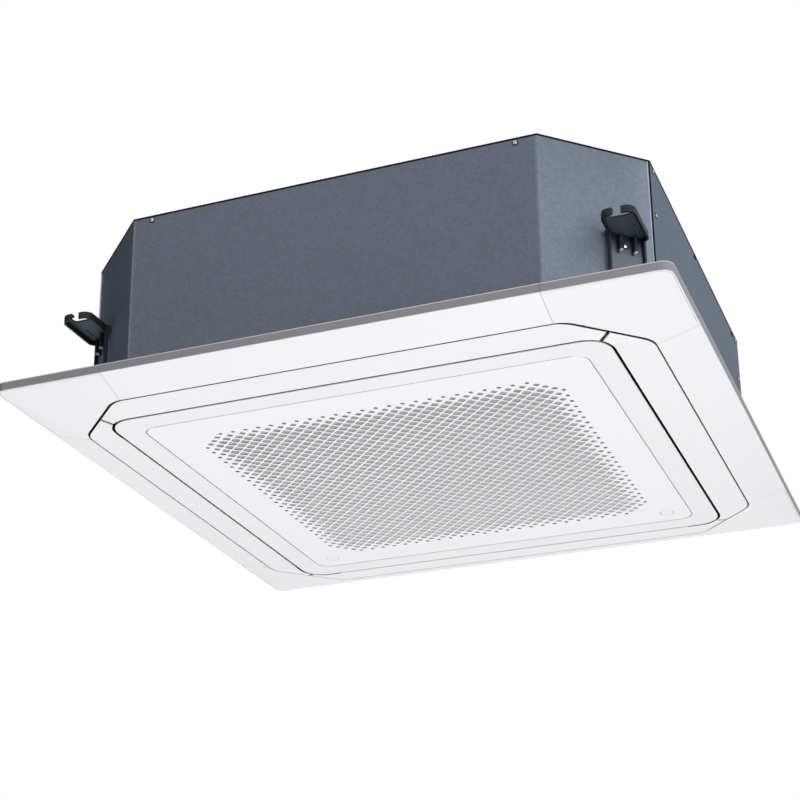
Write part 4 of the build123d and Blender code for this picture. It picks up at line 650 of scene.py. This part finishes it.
def vane_painted_shade(tree, place, shade):
    """Painted shade: a vane's upright walls are painted black towards the fixed ring, across the corners and,
    of the front and rear vanes, towards the rim; the others and the mitred ends are white."""
    _, larger, smaller, _ = plan_reach(tree, place)
    normal = tree.nodes.new("ShaderNodeTexCoord").outputs["Normal"]
    facing = wired(tree, "ShaderNodeSeparateXYZ", {0: normal}).outputs["Z"]
    wall = below(tree, joined(tree, "ABSOLUTE", facing), 0.80, 0.2)
    edge = joined(tree, "MAXIMUM", below(tree, larger, vane_inner), above(tree, smaller, vane_corner))
    edge = joined(tree, "MAXIMUM", edge, above(tree, plan_places(tree, place)[2], vane_outer))
    off_mitre = above(tree, joined(tree, "SUBTRACT", larger, smaller), vane_mitre)
    return mixed(tree, overlap(tree, wall, edge, off_mitre), shade, gap_shade_black)


def rim_painted_light(tree, place, shade):
    """Painted light on the rim: its upright band is painted grey as painted shade, but for a painted highlight
    in white along its top and a line of painted shade at each corner cover's joint; the outlet's wall inside
    the slopes is painted grey, and black across the corners, as painted shade."""
    height, larger, smaller, total = plan_reach(tree, place)
    shade = joint_shadow(tree, place, shade)
    outer = joined(tree, "MAXIMUM", above(tree, larger, band_face), above(tree, total, band_corner))
    grey = mixed(tree, above(tree, height, band_top), band_shade_grey, band_highlight_white)
    grey = mixed(tree, joint_line(tree, smaller, 0.0003), grey, joint_shade_grey)
    shade = mixed(tree, overlap(tree, above(tree, height, band_foot), outer), shade, grey)
    # Painted shade on the walls inside the outlets: grey along the straight runs, black across the corners.
    lining_shade = mixed(tree, below(tree, total, lining_straight), gap_shade_black, lining_shade_grey)
    inner = overlap(tree, below(tree, larger, slope_inner), below(tree, total, slope_corner),
                    above(tree, height, lining_foot))
    return mixed(tree, inner, shade, lining_shade)


def ring_painted_shade(tree, place, shade):
    """The fixed ring is painted black above its face on the side of the outlets: painted shade."""
    height, larger, _, _ = plan_reach(tree, place)
    ring_shade = overlap(tree, above(tree, larger, ring_side), above(tree, height, ring_face))
    return mixed(tree, ring_shade, shade, gap_shade_black)


satin_white, moulded_white, vane_white, ring_white = (
    finish(name, panel_white, 0.42, drift=0.012, drift_scale=3.0, skin=0.06, skin_scale=1500.0, edge=0.0006,
           rough_swing=0.05, recolour=recolour, Coat_Weight=0.08, IOR=1.46)
    for name, recolour in (("satin_white", rim_painted_light), ("moulded_white", joint_shadow),
                           ("vane_white", vane_painted_shade), ("ring_white", ring_painted_shade)))
softened("panel_rim", "panel_frame", 0.0006, "unit", satin_white)
softened("grille_surround", "intake_surround", 0.0005, "unit", ring_white)
for corner in unit_corners:
    softened("corner_cover_" + corner + "_skin", "corner_cover_" + corner, 0.0005, "unit", moulded_white)
for side in ("front", "right", "rear", "left"):
    softened("vane_" + side + "_blade", "vane_" + side, 0.0006, side + "_vane", vane_white)

# ---- Perforated grille ----
# A flat moulded sheet with about 1500 diamond holes whose outer rows fade to small ones, a stiff rim behind
# it, two ears for each hinge pin and a bored boss for each latch.
sheet_wall, sheet_half, sheet_radius = 0.0008, 0.325, 0.022
sheet_back = sheet_wall - 0.0002
hole_grid, hole_tip, hole_lead_in = 0.01985, 0.16, 0.0003
field_half, field_corner = 0.272, 0.030
latch_x, latch_y, latch_bore = 0.289, 0.288, 0.0106
knob_edge, bore_edge = 0.0099, 0.0110
bore_shade, joint_shade = (0.56, 0.56, 0.57), (0.36, 0.36, 0.37)


def rounded_square_path(half, radius, height=0.0, corner_steps=8):
    """Points round a square with rounded corners, each corner a quarter circle in equal steps, and their
    outward normals."""
    turn = np.linspace(0, np.pi / 2, corner_steps + 1)
    quarter = np.stack([np.cos(turn), np.sin(turn)], axis=1)
    turns = [np.array([[math.cos(angle), -math.sin(angle)], [math.sin(angle), math.cos(angle)]])
             for angle in np.arange(4) * math.pi / 2]
    points = np.concatenate([(quarter * radius + (half - radius)) @ turn.T for turn in turns])
    normals = np.concatenate([quarter @ turn.T for turn in turns])
    flat = np.zeros((len(points), 1))
    return np.hstack([points, flat + height]), np.hstack([normals, flat])


def lathe(profile, centre, steps=64):
    """Grid of a profile of (radius, height) turned about an upright axis through a centre."""
    angle = np.linspace(0, 2 * np.pi, steps + 1)[:-1]
    radius, height = profile[:, :1], profile[:, 1:] + 0 * angle
    return np.stack([centre[0] + radius * np.cos(angle), centre[1] + radius * np.sin(angle), height], axis=2)


def hole_centres():
    """Two square grids, one in the middle of the other's cells, inside a square with cut corners; and half the
    width of each hole, which grows with its distance from the field's edge."""
    steps = np.arange(-14, 15) * hole_grid
    first = np.stack(np.meshgrid(steps, steps, indexing="ij"), axis=-1).reshape(-1, 2)
    centres = np.concatenate([first, first + hole_grid / 2])
    to_side = field_half - np.abs(centres).max(axis=1)
    to_corner = 2 * field_half - field_corner - np.abs(centres).sum(axis=1)
    inside = (to_side > 0) & (to_corner > 0)
    to_edge = np.minimum(to_side, to_corner / math.sqrt(2))[inside]
    half = np.interp(to_edge, [0.0, 0.010, 0.020, 0.034], [0.0032, 0.0050, 0.0067, 0.0082])
    return centres[inside], half


def hole_cells():
    """Each hole sits in a diamond cell: three rings of eight points (a diamond with cut tips: the lead-in at
    the front, the edge of the hole, the back), joined to four cell corners in front and four behind."""
    centres, hole_half = hole_centres()
    unit = np.array([(1, 0), (0, 1), (-1, 0), (0, -1)], float)
    ring = np.stack([unit * (1 - hole_tip) + np.roll(unit, 1, axis=0) * hole_tip,
                     unit * (1 - hole_tip) + np.roll(unit, -1, axis=0) * hole_tip], axis=1).reshape(8, 2)
    layers = []
    for extra, level in ((hole_lead_in, 0.0), (0.0, hole_lead_in), (0.0, sheet_wall)):
        flat = centres[:, None, :] + ring[None] * (hole_half[:, None, None] + extra)
        layers.append(np.concatenate([flat, np.full((len(centres), 8, 1), level)], axis=2))
    corners = centres[:, None, :] + unit[None] * hole_grid / 2
    for level in (0.0, sheet_wall):
        layers.append(np.concatenate([corners, np.full((len(centres), 4, 1), level)], axis=2))
    points = np.concatenate(layers, axis=1)
    edge, back, front_corner, back_corner = 8, 16, 24, 28
    quads, tris = [], []
    for k in range(4):
        a, b, n = 2 * k + 1, (2 * k + 2) % 8, (k + 1) % 4
        quads += [(front_corner + k, a, b, front_corner + n),
                  (back_corner + k, back_corner + n, back + b, back + a)]
        tris += [(front_corner + k, 2 * k, a), (back_corner + k, back + a, back + 2 * k)]
    for k in range(8):
        n = (k + 1) % 8
        quads += [(k, edge + k, edge + n, n), (edge + k, back + k, back + n, edge + n)]
    base = np.arange(len(centres))[:, None, None] * points.shape[1]
    faces = ((base + np.array(quads)).reshape(-1, 4).tolist()
             + (base + np.array(tris)).reshape(-1, 3).tolist())
    mesh = bpy.data.meshes.new("hole_cells")
    mesh.from_pydata(points.reshape(-1, 3).tolist(), [], faces)
    return mesh


def perforated_mesh():
    """The cells of the holes, the sheet's outer edge, rounded at the front, and the walls of the latch bores,
    with the flat border between them filled in front and behind."""
    outline = ((0.0010, 0.0), (0.0004, 0.00025), (0.0, 0.0006), (0.0, sheet_wall), (0.0010, sheet_wall))
    edge = np.stack([rounded_square_path(sheet_half - inset, sheet_radius - inset, level)[0]
                     for inset, level in outline])
    bore = np.array([(latch_bore + 0.0004, 0.0), (latch_bore, sheet_wall)])
    bores = [lathe(bore, (side * latch_x, latch_y), steps=40) for side in (-1, 1)]
    build = bmesh.new()
    for part in (hole_cells(), grid_mesh([edge, *bores], wrap_v=True)):
        build.from_mesh(part)
        bpy.data.meshes.remove(part)
    bmesh.ops.remove_doubles(build, verts=build.verts, dist=1e-5)
    for level in (0.0, sheet_wall):
        border = [e for e in build.edges
                  if len(e.link_faces) == 1 and all(abs(vertex.co.z - level) < 1e-6 for vertex in e.verts)]
        bmesh.ops.triangle_fill(build, edges=border, use_beauty=True, use_dissolve=False)
    mesh = bpy.data.meshes.new("perforated")
    build.to_mesh(mesh)
    build.free()
    return mesh


def sheet_edge(tree, place, shade):
    """The sheet and its knobs are shaded where they drop into the front and rear joints and into the latch
    bores, which a ring about each latch's axis marks."""
    _, x, y = plan_places(tree, place)
    away = [joined(tree, "SUBTRACT", value, middle) for value, middle in ((x, latch_x), (y, latch_y))]
    flat = wired(tree, "ShaderNodeCombineXYZ", {0: away[0], 1: away[1]})
    length = wired(tree, "ShaderNodeVectorMath", {0: flat.outputs[0]}, operation="LENGTH")
    distance = length.outputs["Value"]
    rear = above(tree, wired(tree, "ShaderNodeSeparateXYZ", {0: place}).outputs["Y"], 0.0)
    bore = overlap(tree, above(tree, distance, knob_edge), below(tree, distance, bore_edge), rear)
    shade = mixed(tree, bore, shade, bore_shade)
    return mixed(tree, above(tree, y, sheet_half - 0.0007), shade, joint_shade)


grille_white = finish("grille_white", (0.86, 0.86, 0.88), 0.45, drift=0.01, drift_scale=4.0, skin=0.05,
                      skin_scale=1500.0, edge=0.0003, rough_swing=0.05, recolour=sheet_edge, IOR=1.46)
perforated = piece_from("perforated_sheet", perforated_mesh(), "grille", grille_white)
perforated.data.set_sharp_from_angle(angle=math.radians(10))
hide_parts("grille_panel")

# The rim behind the sheet runs in two lengths, open at the hinges.
rim_half, rim_radius = 0.31825, 0.0155
rim_middle_end, rim_long_end = 0.205, 0.235
rim_profile = np.array([(0.00125, 0.0), (0.00125, 0.0098), (0.0009, 0.0107), (0.0, 0.0110),
                        (-0.0009, 0.0107), (-0.00125, 0.0098), (-0.00125, 0.0)])
towards_front = np.array([[0.0, -1.0, 0.0]])
middle_x = np.linspace(-rim_middle_end, rim_middle_end, 9)
middle_run = np.stack([middle_x, 0 * middle_x - rim_half, 0 * middle_x + sheet_back], axis=1)
around, out_normal = rounded_square_path(rim_half, rim_radius, sheet_back, corner_steps=10)
order = np.argsort((np.arctan2(around[:, 1], around[:, 0]) + 0.5 * np.pi) % (2 * np.pi))
long_run = np.concatenate([[[rim_long_end, -rim_half, sheet_back]], around[order],
                           [[-rim_long_end, -rim_half, sheet_back]]])
long_normal = np.concatenate([towards_front, out_normal[order], towards_front])
rim_runs = [carried(middle_run, towards_front.repeat(9, axis=0), rim_profile),
            carried(long_run, long_normal, rim_profile)]
piece_from("grille_rim", closed_tube(rim_runs), "grille", grille_white)

# Hinge ears: plates with a round top that hold the pins, standing on the sheet's back near its front edge. A
# pair stands at each hinge, and their outer faces have a small chamfer.
ear_y, ear_z, ear_radius = -0.303, 0.0055, 0.0026
ear_hub = np.array([ear_y, 0.0040])
hinge_x, ear_offset, ear_half, ear_chamfer = 0.220, 0.005, 0.0015, 0.0003
ear_turn = np.linspace(-0.25 * np.pi, 1.25 * np.pi, 19)
ear_top = np.stack([ear_y + ear_radius * np.cos(ear_turn), ear_z + ear_radius * np.sin(ear_turn)], axis=1)
ear_outline = np.concatenate([ear_top, [[ear_y - ear_radius, sheet_back], [ear_y + ear_radius, sheet_back]]])
ear_rings = ear_hub + (ear_outline[None] - ear_hub) * np.array([0.93, 1.0, 1.0, 0.93])[:, None, None]
ear_stations = np.array([-ear_half, ear_chamfer - ear_half, ear_half - ear_chamfer, ear_half])
ears = []
for hinge in (-hinge_x, hinge_x):
    for side in (-ear_offset, ear_offset):
        stations = hinge + side + ear_stations
        across = np.broadcast_to(stations[:, None, None], (4, len(ear_outline), 1))
        ears.append(np.concatenate([across, ear_rings], axis=2))
piece_from("grille_ears", closed_tube(ears), "grille", grille_white)

# Latch bosses: bored collars behind the sheet, deep enough for the knobs' 3 mm stroke.
boss = np.array([(latch_bore, sheet_back), (0.0130, sheet_back), (0.0130, 0.0082), (0.0127, 0.0088),
                 (0.0121, 0.0090), (0.0044, 0.0090), (0.0040, 0.0088), (0.0038, 0.0084), (0.0038, 0.0074),
                 (0.0042, 0.0070), (latch_bore, 0.0070)])
bosses = [lathe(boss, (side * latch_x, latch_y)) for side in (-1, 1)]
boss_mesh = grid_mesh(bosses, wrap_u=True, wrap_v=True)
piece_from("latch_bosses", boss_mesh, "grille", grille_white)

# ---- Latches ----
# Two round push knobs of the grille's own plastic near its rear edge, flush with its face. Each has a dished
# middle for the finger and slides in its boss.
for side in ("left", "right"):
    softened("latch_knob_" + side, "grille_latch_" + side, 0.0005, "latch_" + side, grille_white,
             segments=3)

# ---- Air filter ----
# A moulded grey frame that clips behind the grille, with a fine net stretched over its ribs. The net has two
# sets of flat threads about a millimetre wide, one set just above the other.
net_half, thread_count, thread_end = 0.264, 241, 0.266
net_level, net_lift = sheet_wall + 0.0010, 0.00035
thread_section = np.array([(-0.00052, -0.0002), (0.00052, -0.0002), (0.00052, 0.0002), (-0.00052, 0.0002)])
net_shade_from, net_shade_to = -0.25, 0.25


def net_painted_shade(tree, place, shade):
    """Painted shade: the net is painted darker towards the front and lighter at the rear."""
    y = wired(tree, "ShaderNodeSeparateXYZ", {0: place}).outputs["Y"]
    return scaled(tree, shade, mapped(tree, y, net_shade_from, net_shade_to, 0.92, 1.28))


def thread_tubes(along_x):
    """Straight threads of one direction, side by side: each a tube of two stations with a flat section."""
    offsets = np.linspace(-net_half, net_half, thread_count)
    shape = (thread_count, 2, len(thread_section))
    along = np.broadcast_to(np.array([-thread_end, thread_end])[None, :, None], shape)
    across = np.broadcast_to(offsets[:, None, None] + thread_section[:, 0], shape)
    height = np.broadcast_to(net_level + net_lift * along_x + thread_section[:, 1], shape)
    return list(np.stack((along, across, height) if along_x else (across, along, height), axis=3))


filter_grey = finish("filter_grey", (0.55, 0.55, 0.56), 0.6, drift=0.05, skin=0.25)
net_grey = finish("net_grey", (0.56, 0.56, 0.56), 0.7, drift=0.05, skin=0.1, recolour=net_painted_shade)
softened("filter_frame", "air_filter", 0.0004, "grille", filter_grey)
net_mesh = closed_tube(thread_tubes(True) + thread_tubes(False))
piece_from("filter_net", net_mesh, "grille", net_grey, smooth=False)

# ---- Foam ----
# Expanded polystyrene: packed beads a few millimetres wide, off-white and slightly sheened. The liner and the
# drain pan are moulded of it, and the frame of the four outlets is of the same foam in black.


def foam_beads(tree, place, shade):
    """Packed beads: cells with darker joints."""
    cells = wired(tree, "ShaderNodeTexVoronoi", {"Vector": place, "Scale": 260.0}, feature="DISTANCE_TO_EDGE")
    return scaled(tree, shade, mapped(tree, cells.outputs["Distance"], 0.0, 0.09, 0.86, 1.0))


black_foam = finish("black_bead_foam", (0.022, 0.022, 0.024), 0.75, drift=0.06, skin=0.5, skin_scale=320.0,
                    recolour=foam_beads, edge=0.001)
dress(black_foam, "outlet_frame")
foam = finish("bead_foam", (0.83, 0.83, 0.80), 0.75, drift=0.03, skin=0.5, skin_scale=320.0,
              recolour=foam_beads, edge=0.001)
dress(foam, "insulation_liner", "drain_pan", "panel_insulation")

# ---- Fan and motor ----
# A moulded seven-bladed centrifugal wheel on a steel shaft, under a painted motor hung on rubber bushes. The
# panel's seal and the bush that the wires pass through are of the same black rubber.
fan_grey = finish("fan_grey", (0.60, 0.62, 0.64), 0.42, drift=0.04, skin=0.12, edge=0.0008)
dress(fan_grey, "turbo_fan")
motor_paint = finish("motor_paint", (0.16, 0.165, 0.175), 0.38, drift=0.06, skin=0.3, edge=0.0008, wear=0.25,
                     wear_colour=(0.45, 0.45, 0.46), Metallic=0.2)
dress(motor_paint, "fan_motor", "vane_motors")
rubber = finish("black_rubber", (0.022, 0.022, 0.023), 0.72, drift=0.12, skin=0.4, edge=0.0006)
dress(rubber, "panel_seal", "motor_bushes", "wiring_bush")

# ---- Heat exchanger and pipes ----
# Aluminium fins pressed on copper hairpins, brazed to a gas header and fed by a distributor's capillaries.
# The two pipes leave through the pipe cover and end in brass flare unions.
fin_spacing = 0.0016


def fin_gap_painted_shade(tree, place, shade):
    """Fin edges: fine upright stripes along both horizontal directions, the lower of two sine waves; the dark
    between them is painted shade in the gaps between the fins.
    """
    axes = wired(tree, "ShaderNodeSeparateXYZ", {0: place})
    waves = [joined(tree, "SINE", joined(tree, "MULTIPLY", axes.outputs[name], 2 * math.pi / fin_spacing))
             for name in ("X", "Y")]
    return scaled(tree, shade, mapped(tree, joined(tree, "MINIMUM", *waves), -1.0, 0.2, 0.25, 1.0))


def tarnish(tree, place, shade):
    """Copper that has browned unevenly by handling and brazing."""
    return mixed(tree, mapped(tree, noise(tree, place, 35.0, 6.0, 0.7), 0.45, 0.7), shade, (0.30, 0.13, 0.08))


fins = finish("aluminium_fins", (0.70, 0.72, 0.75), 0.35, drift=0.05, skin=0.1, recolour=fin_gap_painted_shade,
              Metallic=0.9)
dress(fins, "heat_exchanger")
dress(galvanised, "exchanger_end_plates")
copper = finish("copper_tube", (0.78, 0.36, 0.22), 0.3, drift=0.08, skin=0.1, recolour=tarnish, Metallic=1.0)
dress(copper, "exchanger_bends", "gas_header", "gas_pipe", "liquid_pipe", "liquid_distributor")
brass = finish("turned_brass", (0.78, 0.58, 0.27), 0.28, drift=0.06, skin=0.1, wear=0.2, Metallic=1.0)
dress(brass, "gas_union", "liquid_union")

# ---- Drain ----
# Moulded pump, float switch, float and socket, off-white, which lift the water out of the foam pan. A ribbed
# flexible hose of grey plastic joins the pump to the socket.
pump_white = finish("pump_plastic", (0.74, 0.74, 0.71), 0.5, drift=0.04, skin=0.2, edge=0.0008)
dress(pump_white, "drain_pump", "float_switch", "float", "drain_socket")
hose = finish("hose_grey", (0.33, 0.34, 0.35), 0.6, drift=0.05, skin=0.2)
dress(hose, "drain_hose")

# ---- Electrical parts ----
# A green coated board and a black moulded terminal block. Both are screwed down in the folded steel box beside
# the bell mouth.
board = finish("coated_board", (0.03, 0.16, 0.07), 0.3, drift=0.15, drift_scale=60.0, skin=0.3,
               skin_scale=400.0, Coat_Weight=0.5)
dress(board, "control_board")
bakelite = finish("terminal_black", (0.03, 0.03, 0.033), 0.45, drift=0.08, skin=0.25)
dress(bakelite, "terminal_block")
